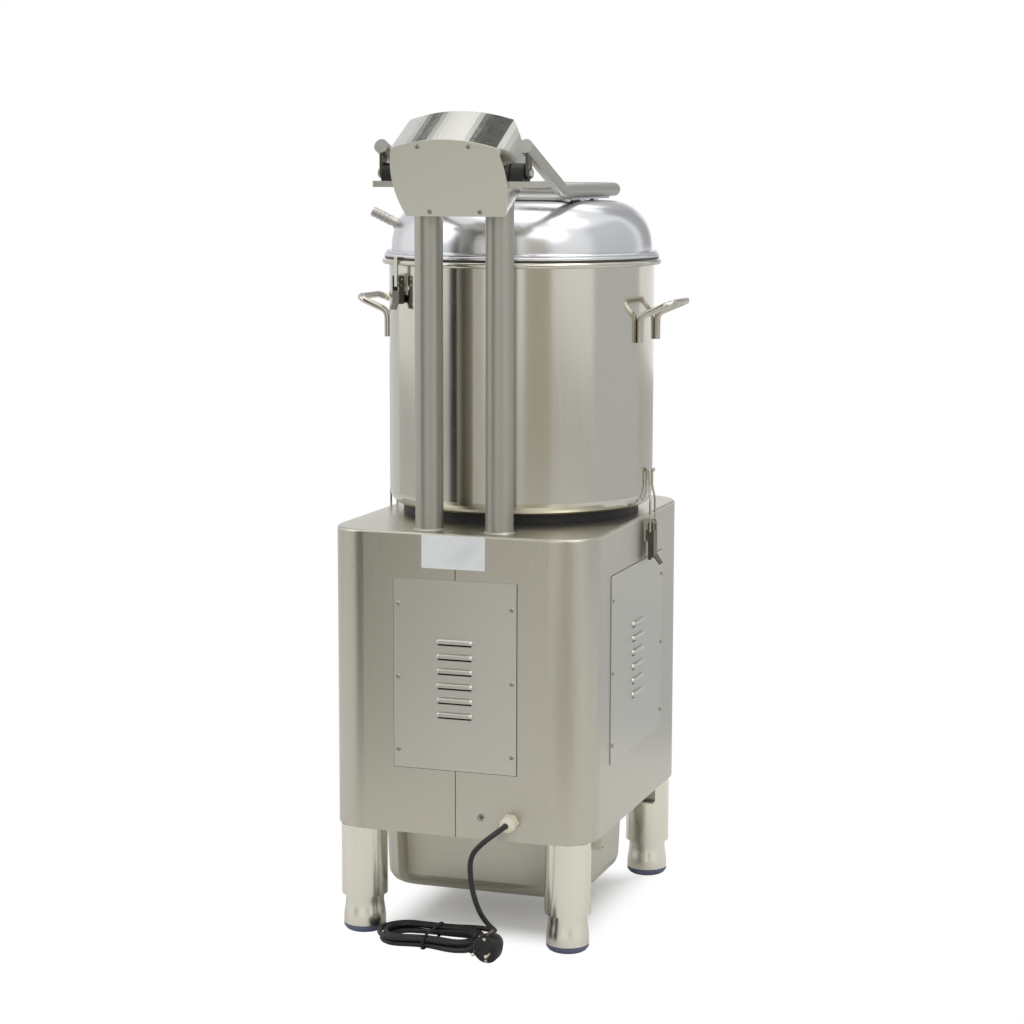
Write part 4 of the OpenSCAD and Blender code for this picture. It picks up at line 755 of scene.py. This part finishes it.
@dataclass
class Studio:
    """White surroundings, soft lamps, grey cards that steel reflects, and a floor."""

    floor_half: float = 9.0
    lamps: tuple[Lamp, ...] = (
        Lamp((-1.75, 0.30, 3.45), 0.8, 1.1, 12.0),
        Lamp((-2.6, 3.0, 3.2), 0.6, 2.8, 24.0),
        Lamp((3.2, 1.6, 2.6), 0.6, 2.6, 18.0),
        Lamp((-0.4, -3.2, 3.0), 0.7, 3.0, 20.0),
        Lamp((0.0, 0.0, 4.4), 0.0, 3.4, 30.0),
    )
    cards: tuple[Card, ...] = (
        Card(55.6, 2.6, 0.92, (0.006, 0.005, 0.003)),
        Card(71.4, 2.7, 0.54, (0.72, 0.70, 0.66)),
        Card(122.3, 4.3, 1.70, (0.64, 0.60, 0.52)),
        Card(200.0, 2.8, 3.00, (0.77, 0.79, 0.82)),
        Card(252.0, 2.8, 1.40, (0.50, 0.51, 0.53), low=0.85),
        Card(-38.0, 2.8, 1.60, (0.88, 0.90, 0.94)),
        Card(-80.0, 3.2, 3.80, (0.60, 0.60, 0.62), 20.0, 1.2),
        Card(-52.0, 2.6, 1.20, (0.004, 0.004, 0.003), 41.8, 0.34),
        Card(-88.0, 2.6, 0.80, (0.004, 0.004, 0.003), 62.0, 0.76),
        Card(60.0, 2.5, 0.60, (0.14, 0.13, 0.11), height=0.34),
        Card(58.0, 2.1, 0.66, (0.20, 0.19, 0.16), low=0.003, height=1.6, lying=True),
        Card(118.0, 2.2, 1.90, (0.58, 0.55, 0.48), low=0.003, height=2.0, lying=True),
        Card(250.0, 2.0, 1.60, (0.66, 0.68, 0.72), low=0.003, height=1.9, lying=True),
    )
    shade_reach: Pair = (0.115, 0.21)
    shade_glow: float = 0.16
    shade_middle: Pair = (-0.012, 0.005)
    shade_squeeze: float = 1.25
    matt_colour: Colour = (1.0, 0.99, 0.97)
    matt_strength: float = 0.55

    def world(self) -> None:
        """White for the camera and in metal, softer for matt surfaces."""
        world = bpy.data.worlds.new("white surroundings")
        world.use_nodes = True
        bpy.context.scene.world = world
        world.node_tree.nodes.clear()
        path, glass, both, seen, soft, mix, out = (
            world.node_tree.nodes.new(f"ShaderNode{kind}")
            for kind in ("LightPath", "Math", "Math", "Background", "Background", "MixShader", "OutputWorld"))
        glass.operation = both.operation = "MAXIMUM"
        seen.inputs["Color"].default_value = (1.0, 1.0, 1.0, 1.0)
        seen.inputs["Strength"].default_value = 1.0
        soft.inputs["Color"].default_value = (*self.matt_colour, 1.0)
        soft.inputs["Strength"].default_value = self.matt_strength
        for start, end in (
            (path.outputs["Is Camera Ray"], glass.inputs[0]),
            (path.outputs["Is Transmission Ray"], glass.inputs[1]),
            (glass.outputs[0], both.inputs[0]),
            (path.outputs["Is Glossy Ray"], both.inputs[1]),
            (both.outputs[0], mix.inputs[0]),
            (soft.outputs[0], mix.inputs[1]),
            (seen.outputs[0], mix.inputs[2]),
            (mix.outputs[0], out.inputs[0]),
        ):
            world.node_tree.links.new(start, end)

    def light(self) -> None:
        """Makes the soft lamps."""
        for index, lamp in enumerate(self.lamps):
            data = bpy.data.lights.new(f"lamp {index}", "AREA")
            data.shape = "DISK"
            data.size = lamp.width
            data.energy = lamp.power
            made = show(f"lamp {index}", data)
            made.location = lamp.place
            beam = Vector((0.0, 0.0, lamp.aim)) - Vector(lamp.place)
            made.rotation_euler = beam.to_track_quat("-Z", "Y").to_euler()

    @staticmethod
    def flat(name: str, corners: Sequence[Vector | Point], material: bpy.types.Material) -> bpy.types.Object:
        """One flat sheet of the studio.

        Args:
            name: Its name.
            corners: Its corners.
            material: Its material.

        Returns:
            The object.
        """
        data = bpy.data.meshes.new(name)
        data.from_pydata(corners, [], [tuple(range(len(corners)))])
        data.materials.append(material)
        made = show(name, data)
        return made

    def floor(self) -> None:
        """A white floor that keeps the shadow and runs out into the white behind it."""
        board = Board("white floor")
        x, y, _ = board.axes()
        across = (x - self.shade_middle[0]).size() * self.shade_squeeze
        outward = board.sum("MAXIMUM", across, (y - self.shade_middle[1]).size())
        away = outward.fade(*self.shade_reach)
        seen = Wire(board, board.node("LightPath", {}).outputs["Is Camera Ray"])
        matt = board.node("BsdfDiffuse", {"Color": (0.93, 0.93, 0.935)})
        dim = board.node("Emission", {"Strength": self.shade_glow})
        lifted = board.node("AddShader", {0: matt.outputs[0], 1: dim.outputs[0]})
        white = board.node("Emission", {"Strength": 1.0})
        near = board.node("MixShader", {0: seen, 1: matt.outputs[0], 2: lifted.outputs[0]})
        both = board.node("MixShader", {0: seen * away, 1: near.outputs[0], 2: white.outputs[0]})
        board.tree.links.new(both.outputs[0], board.output.inputs[0])
        half = self.floor_half
        edge = [(-half, -half, 0), (half, -half, 0), (half, half, 0), (-half, half, 0)]
        self.flat("floor", edge, board.material)

    def build(self) -> None:
        """Makes the whole studio."""
        self.world()
        self.light()
        self.floor()
        for index, card in enumerate(self.cards):
            board = Board(f"card {index}")
            board.finish(Base_Color=card.tone, Roughness=1.0)
            made = self.flat(f"card {index}", card.corners(), board.material)
            made.visible_camera = made.visible_shadow = made.visible_diffuse = False
        bpy.context.scene.view_settings.view_transform = "Standard"


@dataclass
class Piece:
    """Something on the machine that a workshop makes."""

    shop: Workshop
    rods: TubeRecipe


@dataclass
class MainsLead(Piece):
    """The mains lead with its hank, tie, gland and plug, from the route of the part's own solids."""

    diameter: float = 7.2
    lead: tuple[Point, ...] = (
        (-80, 262, 181), (-80, 271, 181), (-78, 280.8, 179.6), (-73.4, 289.9, 176.1), (-66.4, 296.8, 170.5),
        (-57.9, 300.4, 162.7), (-48.7, 300.1, 151.5), (-43.7, 298, 138.1), (-43.2, 296.7, 123.4),
        (-43.6, 294, 108), (-44.9, 289, 92), (-46.7, 282, 76.5), (-48.9, 273, 62), (-51.2, 262, 49.5),
        (-53, 250, 39), (-53.6, 237, 30.4), (-51.8, 224, 23.9), (-47, 211.5, 19.2), (-38.6, 200.8, 16.1),
        (-27, 193.2, 14.3), (-13.5, 189.2, 13.1), (-0.1, 189.6, 12.5), (11.8, 192.5, 12.7))
    tail: tuple[Point, ...] = (
        (20, 262.4, 4.5), (10, 264.6, 4.3), (0, 267.3, 4.5), (-10.5, 270.5, 5.4), (-19.5, 273.1, 6.9))
    neck_in: Point = (10.0, -2.0, -4.0)
    neck_end: Point = (-34.5, 276.5, 10.6)
    middle: Pair = (36.0, 230.0)
    turns: float = 3.5
    turn_in: float = 2.0
    step: float = 8.4
    bend: float = 23.4
    half: float = 37.0
    pinch: float = 5.0
    steps: int = 24
    lift: float = 0.3
    tie: float = 1.0
    layer_gap: float = 0.8
    climb: float = 0.5
    lead_end: float = 0.010
    tail_start: float = 0.006
    neck_run: float = 0.007
    plug_place: Point = (-66.0, 282.0, 21.1)
    plug_turn: Point = (-8.0, 0.0, -8.0)
    ribs: int = 5
    clip: tuple[Pair, ...] = ((-12, 18.2), (-2, 19), (4, 19.4), (10, 19.1), (15.4, 17.9), (15.4, 14.2))
    clip_half: float = 2.2
    clip_thick: float = 0.7
    tie_wire: float = 0.0006
    tie_pitch: float = 0.0011
    tie_corner: float = 0.0034
    gland_place: Point = (-80.0, 237.5, 181.0)
    gland_teeth: int = 24

    def loop(self, radius: float, turn: float) -> Pair:
        """A place on a loop of two straight runs and two half circles.

        Args:
            radius: The half circles' radius.
            turn: Turns from the middle of the first run.

        Returns:
            The place across the hank's middle.
        """
        arc = pi * radius
        way = 2 * self.half + arc
        halves, rest = divmod(2 * turn, 1.0)
        side = -1 if halves % 2 else 1
        along = rest * way
        if along < self.half:
            return side * along, -side * radius
        if along < self.half + arc:
            angle = (along - self.half) / radius - pi / 2
            return side * (self.half + radius * cos(angle)), side * radius * sin(angle)
        return side * (way - along), side * radius

    def hank(self, turn: float) -> Vector:
        """A point of the hank.

        Args:
            turn: Turns from its start.

        Returns:
            The point in metres.
        """
        radius = self.bend + self.step * abs(self.turn_in - turn)
        across, deep = self.loop(radius, turn)
        waist = cos(pi / 2 * min(abs(across) / (self.half + self.bend), 1)) ** 2
        share = min(max((self.turn_in - turn) / self.climb + 0.5, 0.0), 1.0)
        layer = share * share * (3 - 2 * share)
        height = self.diameter / 2 + self.lift + self.tie * waist + (self.diameter + self.layer_gap) * layer
        pinched = deep - copysign(self.pinch * waist, deep)
        return mm(self.middle[0] + across, self.middle[1] + pinched, height)

    def route(self) -> list[Vector]:
        """The whole route in metres: the lead, the hank and the tail, each in line with the next."""
        count = int(self.turns * self.steps) * 2
        hank = [self.hank(self.turns * k / count) for k in range(count + 1)]
        inward = (hank[1] - hank[0]).normalized()
        outward = (hank[-1] - hank[-2]).normalized()
        neck = mm(*self.neck_end)
        along = (mm(*self.plug_place) + mm(*self.neck_in) - neck).normalized()
        lead = [mm(*p) for p in self.lead] + [hank[0] - inward * self.lead_end, hank[0]]
        tail = [hank[-1], hank[-1] + outward * self.tail_start] + [mm(*p) for p in self.tail]
        tail += [neck - along * self.neck_run, neck]
        return smooth_path(lead, 4)[:-1] + hank[:-1] + smooth_path(tail, 4)

    def plug_frame(self) -> Matrix:
        """The plug's own frame, whose Y axis runs out of its face along the pins."""
        tilt = Euler([radians(angle) for angle in self.plug_turn]).to_matrix().to_4x4()
        return Matrix.Translation(mm(*self.plug_place)) @ tilt

    def build_plug(self) -> bpy.types.Object:
        """The plug's body: a round housing with a stepped rim, a waist and earth grooves, and its neck.

        Returns:
            The object.
        """
        maker = bmesh.new()
        forward = self.plug_frame() @ Matrix.Rotation(-pi / 2, 4, "X")
        outline = [(0, -18.6), (8.5, -18.6), (10.6, -17.8), (12.6, -14.6), (14.6, -9.6), (16.9, -4.4),
                   (17.7, -1.4), (17.5, -0.6), (18.4, 0.2), (18.8, 1.6), (18.8, 13.6), (18.3, 14.9),
                   (17.2, 15.3), (15.6, 15.3), (15.2, 14.6), (0, 14.6)]
        lathe(maker, outline, forward, 64)
        end, start = mm(*self.neck_end), mm(*self.plug_place) + mm(*self.neck_in)
        along = end - start
        boot = Matrix.Translation(start) @ along.to_track_quat("Z", "Y").to_matrix().to_4x4()
        length = along.length / MM
        profile: list[Pair] = [(0, 0), (8.2, 0), (7.9, length * 0.35)]
        for k in range(self.ribs):
            share = k / self.ribs
            low = length * (0.38 + 0.6 * share)
            radius = 7.2 - 2.4 * share
            profile += [(radius, low), (radius, low + length * 0.075), (radius - 1.2, low + length * 0.08),
                        (radius - 1.2, low + length * 0.115)]
        profile += [(4.3, length * 0.985), (3.7, length), (0, length)]
        lathe(maker, profile, boot, 40)
        return self.shop.mesh("plug_body", maker, "black plastic", 28.0)

    def build_clips(self) -> bpy.types.Object:
        """The two earth clips in the plug's rim.

        Returns:
            The object.
        """
        maker = bmesh.new()
        frame = self.plug_frame()
        half = self.clip_half
        for side in (-1, 1):
            rings = []
            for y, z in self.clip:
                deep = z - self.clip_thick
                back = y if z > 15 else y - 0.6
                spots = ((-half, y, z), (half, y, z), (half, back, deep), (-half, back, deep))
                rings.append([maker.verts.new(frame @ mm(a, b, side * c)) for a, b, c in spots])
            loft(maker, rings, caps=True)
        return self.shop.mesh("plug_earth_clips", maker, "nickel", 40.0)

    def build_tie(self) -> bpy.types.Object:
        """The tie round the hank's waist, a band of strands side by side.

        Returns:
            The object.
        """
        low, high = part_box("cord_tie")
        centre = (Vector(low) + Vector(high)) / 2
        reach = (high[1] - low[1]) / 2 - self.tie_wire
        top = (high[2] - low[2]) / 2 - self.tie_wire
        path = [centre + Vector((0, y, z)) for y, z in rounded(reach, top, self.tie_corner)]
        path.append(path[0] + Vector((0.0001, 0, 0)))
        strands = max(1, int((high[0] - low[0]) / self.tie_pitch))
        paths = []
        for k in range(strands):
            offset = Vector((self.tie_pitch * (k - (strands - 1) / 2), 0, 0))
            paths.append([point + offset for point in path])
        return self.rods.make("hank_tie", paths, self.tie_wire, 0.0, "black plastic", 10, 1)

    def build_gland(self) -> bpy.types.Object:
        """The cable gland: a hexagon, a ribbed clamping nut with a domed end, and its mouth.

        Returns:
            The object.
        """
        maker = bmesh.new()
        place = Matrix.Translation(mm(*self.gland_place)) @ Matrix.Rotation(-pi / 2, 4, "X")
        hexagon = [(0, 0.0), (11.3, 0.0), (11.9, 0.7), (11.9, 6.2), (11.3, 6.9), (9.4, 6.9), (9.4, 8.0)]
        lathe(maker, hexagon, place, 6)
        count = self.gland_teeth * 4
        rings = []
        for radius, height, tooth in ((9.6, 7.6, 0), (10.8, 7.8, 0.5), (11, 8.4, 0.55), (11, 16.2, 0.55),
                                      (10.7, 17.4, 0.4), (9.8, 19.6, 0.1), (8.6, 21.6, 0), (7, 23.2, 0),
                                      (5.2, 24.2, 0), (4.4, 24.4, 0), (3.9, 24, 0), (3.6, 22, 0)):
            ring = []
            for k in range(count):
                turn = 2 * pi * k / count
                r = radius + ((0.0, 0.5, 1.0, 0.5)[k % 4] - 1.0) * tooth
                ring.append(maker.verts.new(place @ mm(r * cos(turn), r * sin(turn), height)))
            rings.append(ring)
        loft(maker, rings)
        return self.shop.mesh("lead_gland", maker, "ivory nylon", 40.0)

    def build(self) -> None:
        """Makes the lead and everything on it."""
        points = self.route()
        curve = bpy.data.curves.new("mains_lead", "CURVE")
        curve.dimensions = "3D"
        curve.bevel_depth = self.diameter / 2 * MM
        curve.bevel_resolution = 5
        curve.use_fill_caps = True
        run = curve.splines.new("POLY")
        run.points.add(len(points) - 1)
        for place, point in zip(run.points, points):
            place.co = (*point, 1.0)
        run.use_smooth = True
        curve.materials.append(self.shop.finishes["cable sheath"])
        lead = show("mains_lead", curve)
        length = sum((b - a).length for a, b in zip(points, points[1:]))
        body, clips = self.build_plug(), self.build_clips()
        tie, gland = self.build_tie(), self.build_gland()
        for piece, slot in ((lead, "black_rubber"), (body, "black_plastic"), (clips, "plug_brass"),
                            (tie, "black_plastic"), (gland, "ivory_plastic")):
            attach(piece, "base")
        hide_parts("power_cord", "cord_hank")
        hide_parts("power_plug")
        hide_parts("cord_tie")
        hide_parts("cable_gland")
        LOG.info("mains lead: %.3f m on %d points", length, len(points))


@dataclass
class LidArm(Piece):
    """The bent tube that lifts the lid, with its ears."""

    half: float = 100.0
    radius: float = 9.5
    rear: Pair = (244.0, 1079.0)
    bend_y: float = 84.0
    front_y: float = -209.0
    bend_radius: float = 60.0
    over_lid: float = 14.5
    ear_middle: Pair = (234.0, 1044.0)
    ear_radius: float = 8.0
    ear_sides: Pair = (98.6, 103.4)
    ear_top: tuple[Pair, Pair] = ((242.0, 1074.0), (226.0, 1068.0))

    def build(self) -> None:
        """Makes the tube and the ears."""
        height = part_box("lid_dome")[1][2] / MM + self.over_lid
        runs = (self.rear, (self.bend_y, height), (self.front_y, height))
        path = there_and_back([mm(self.half, y, z) for y, z in runs], 0)
        tube = self.rods.make("lid_arm_tube", [path], self.radius * MM, self.bend_radius * MM, "arm steel",
                          40, 14)
        y, z = self.ear_middle
        turns = [radians(angle) for angle in range(180, 361, 15)]
        outline = [(y + self.ear_radius * cos(a), z + self.ear_radius * sin(a)) for a in turns]
        outline += self.ear_top
        maker = bmesh.new()
        for side in (-1, 1):
            faces = [[maker.verts.new(mm(side * x, y, z)) for y, z in outline] for x in self.ear_sides]
            loft(maker, faces, caps=True)
        ears = self.shop.mesh("lid_arm_ears", maker, "dull steel", 30.0)
        bevel = ears.modifiers.new("edge", "BEVEL")
        bevel.width = 0.0006
        bevel.segments = 2
        for piece in (tube, ears):
            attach(piece, "lid")
        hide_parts("lid_arm")


@dataclass
class Lid(Piece):
    """The spun lid: a flange with rolled lips, a domed side of smooth curvature and a flat top."""

    flange: float = 10.5
    edge: float = 66.0
    band: float = 10.0
    wall: float = 2.0
    power: float = 2.25
    lip: float = 2.6
    steps: int = 40

    def build(self) -> None:
        """Makes the dome in the box of its solid."""
        low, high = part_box("lid_dome")
        rim = (high[0] - low[0]) / 2 / MM
        floor, top = low[2] / MM, high[2] / MM
        foot = floor + self.band
        dome = rim - self.flange
        flat = dome - self.edge

        def curve(inset: float) -> list[Pair]:
            """The dome's side from its foot up, moved inwards."""
            turns = [pi / 2 * k / self.steps for k in range(self.steps + 1)]
            return [(flat + (dome - flat - inset) * max(cos(a), 0.0) ** (2 / self.power),
                     foot + (top - foot - inset) * sin(a) ** (2 / self.power)) for a in turns]

        inner = dome - self.wall
        profile = [(inner, floor + self.wall), (inner + 0.6, floor), (rim - self.lip, floor)]
        for k in range(1, 7):
            turn = radians(-90 + 30 * k)
            profile.append((rim - self.lip * (1 - cos(turn)), floor + self.lip * (1 + sin(turn))))
        profile += [(rim - self.lip - 0.5, floor + 2 * self.lip + 0.3), (rim - self.lip, foot - 3.0),
                    (rim - self.lip - 1.2, foot - 1.4), (dome + 3.0, foot - 0.6), (dome + 1.0, foot - 0.2)]
        profile += curve(0.0) + [(0.0, top), (0.0, top - self.wall)] + curve(self.wall)[::-1] + profile[:1]
        maker = bmesh.new()
        lathe(maker, profile, axis_of("lid_dome"), 128)
        made = self.shop.mesh("domed_lid", maker, "spun aluminium", 40.0)
        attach(made, "lid")
        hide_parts("lid_dome")


@dataclass
class Feet(Piece):
    """The turned feet: a stem that flares into a round foot, over the pad."""

    foot: float = 29.2
    stem: float = 26.5
    pad: float = 9.0
    flare: float = 28.0

    def build(self) -> None:
        """Makes the four feet, each in the box of its solid."""
        for place in ("front_left", "front_right", "rear_left", "rear_right"):
            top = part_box(f"foot_{place}")[1][2] / MM
            profile = [(0.0, self.pad), (self.foot - 0.8, self.pad), (self.foot, self.pad + 0.8)]
            for k in range(9):
                share = k / 8
                wide = self.foot - (self.foot - self.stem) * share * share * (3 - 2 * share)
                profile.append((wide, self.pad + 7 + self.flare * share))
            profile += [(self.stem, top), (0.0, top)]
            maker = bmesh.new()
            lathe(maker, profile, axis_of(f"foot_{place}"), 72)
            made = self.shop.mesh(f"turned_foot_{place}", maker, "leg steel", 40.0)
            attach(made, f"foot_{place}")
            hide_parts(f"foot_{place}")


@dataclass
class DrumHandles(Piece):
    """The two rod handles of the drum."""

    radius: float = 4.7
    half: float = 43.0
    foot: float = 187.3
    low: float = 811.0
    knee: float = 847.5
    rise: float = 19.0
    tip: float = 232.6
    axis_y: float = -40.0
    bend: float = 14.0

    def build(self) -> None:
        """Makes both handles."""
        paths = []
        runs = ((self.foot, self.low), (self.foot, self.knee), (self.tip, self.knee + self.rise))
        for side in (-1, 1):
            near = [mm(side * x, self.axis_y - self.half, z) for x, z in runs]
            paths.append(there_and_back(near, 1, self.axis_y * MM))
        made = self.rods.make("drum_rod_handles", paths, self.radius * MM, self.bend * MM, "bright steel",
                              20, 8)
        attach(made, "base")
        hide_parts("drum_handles")


@dataclass
class SideLatches(Piece):
    """The wire bails of the two side latches."""

    wire: float = 1.5
    pivot: Point = (195.5, -40.0, 543.0)
    length: float = 88.0
    wide: float = 12.4
    neck: float = 7.1
    bar: float = 192.5
    inner: float = 9.6
    bend: float = 2.8

    def build(self) -> None:
        """Makes both bails."""
        x, y, z = self.pivot
        shoulder, throat, top = z + self.length * 0.5, z + self.length * 0.74, z + self.length
        runs = ((x, self.inner, z), (x, self.wide, z), (x, self.wide, shoulder),
                (self.bar, self.neck, throat), (self.bar, self.neck, top))
        for side, name in ((-1, "left"), (1, "right")):
            path = there_and_back([mm(side * a, y - b, c) for a, b, c in runs], 1, y * MM)
            made = self.rods.make(f"latch_wire_{name}", [path], self.wire * MM, self.bend * MM,
                              "bright steel", 14, 6)
            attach(made, f"bail_{name}")
            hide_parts(f"latch_bail_{name}")


@dataclass
class BlankLabel(Piece):
    """The bare paper label at the top of the rear face."""

    middle: Point = (2.4, 237.5, 542.5)
    width: float = 90.0
    height: float = 45.0
    sunk: float = 0.05
    thick: float = 0.25
    corner: float = 1.5

    def build(self) -> None:
        """Makes the label."""
        x, y, z = self.middle
        outline = rounded(self.width / 2, self.height / 2, self.corner)
        maker = bmesh.new()
        faces = [[maker.verts.new(mm(x + a, y + deep, z + b)) for a, b in outline]
                 for deep in (self.thick, -self.sunk)]
        loft(maker, faces, caps=True)
        made = self.shop.mesh("blank_label", maker, "label paper", 40.0)
        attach(made, "base")


@dataclass
class Dressing(Piece):
    """Which finish each carried-over solid gets."""

    finishes: dict[str, tuple[str, ...]] = field(default_factory=lambda: {
        "cabinet steel": ("cabinet_shell", "base_plate"),
        "panel steel": ("rear_panel", "side_panels", "hinge_bracket", "latch_bases", "tray_runners",
                        "waste_duct"),
        "dull steel": ("latch_lever_left", "latch_lever_right", "lid_latch_lever"),
        "tube steel": ("columns",),
        "leg steel": ("legs", "foot_front_left", "foot_front_right", "foot_rear_left", "foot_rear_right"),
        "drum steel": ("drum", "discharge_chute", "discharge_door", "door_fittings"),
        "head steel": ("head_shell", "control_panel"),
        "plate steel": ("head_back_plate",),
        "bright steel": ("spindle", "lid_latch_hook"),
        "screw steel": ("screws",),
        "tray steel": ("waste_tray",),
        "spun aluminium": ("lid_plate",),
        "arm steel": ("water_nozzle",),
        "cast iron": ("bearing_housing", "disc_pulley", "motor_pulley"),
        "nickel": ("plug_pins",),
        "black rubber": ("drum_collar", "door_gasket", "drive_belt"),
        "seal rubber": ("lid_gasket",),
        "black plastic": ("door_handle", "hinge_blocks", "timer_knob", "control_switches"),
        "blue-grey foot pad": ("pad_front_left", "pad_front_right", "pad_rear_left", "pad_rear_right"),
        "green plastic": ("start_button",),
        "red plastic": ("stop_button",),
        "blue-grey motor paint": ("motor",),
        "abrasive grit": ("abrasive_disc",),
    })

    def build(self) -> None:
        """Dresses the solids."""
        for finish, nodes in self.finishes.items():
            for node in nodes:
                for place in FRAME["nodes"][node].material_slots:
                    place.material = self.shop.finishes[finish]


def main() -> None:
    """Builds the scene in order."""
    logging.basicConfig(level=logging.INFO, format="%(name)s: %(message)s")
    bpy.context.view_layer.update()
    Viewpoint().build()
    shop = Workshop()
    tools = (shop, TubeRecipe(shop))
    MainsLead(*tools).build()
    Studio().build()
    for kind in (Dressing, LidArm, Lid, Feet, DrumHandles, SideLatches, BlankLabel):
        kind(*tools).build()
        LOG.info("%s made", kind.__name__)
    bpy.context.view_layer.update()


FRAME: dict[str, Any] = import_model()

if __name__ == "__main__":
    main()
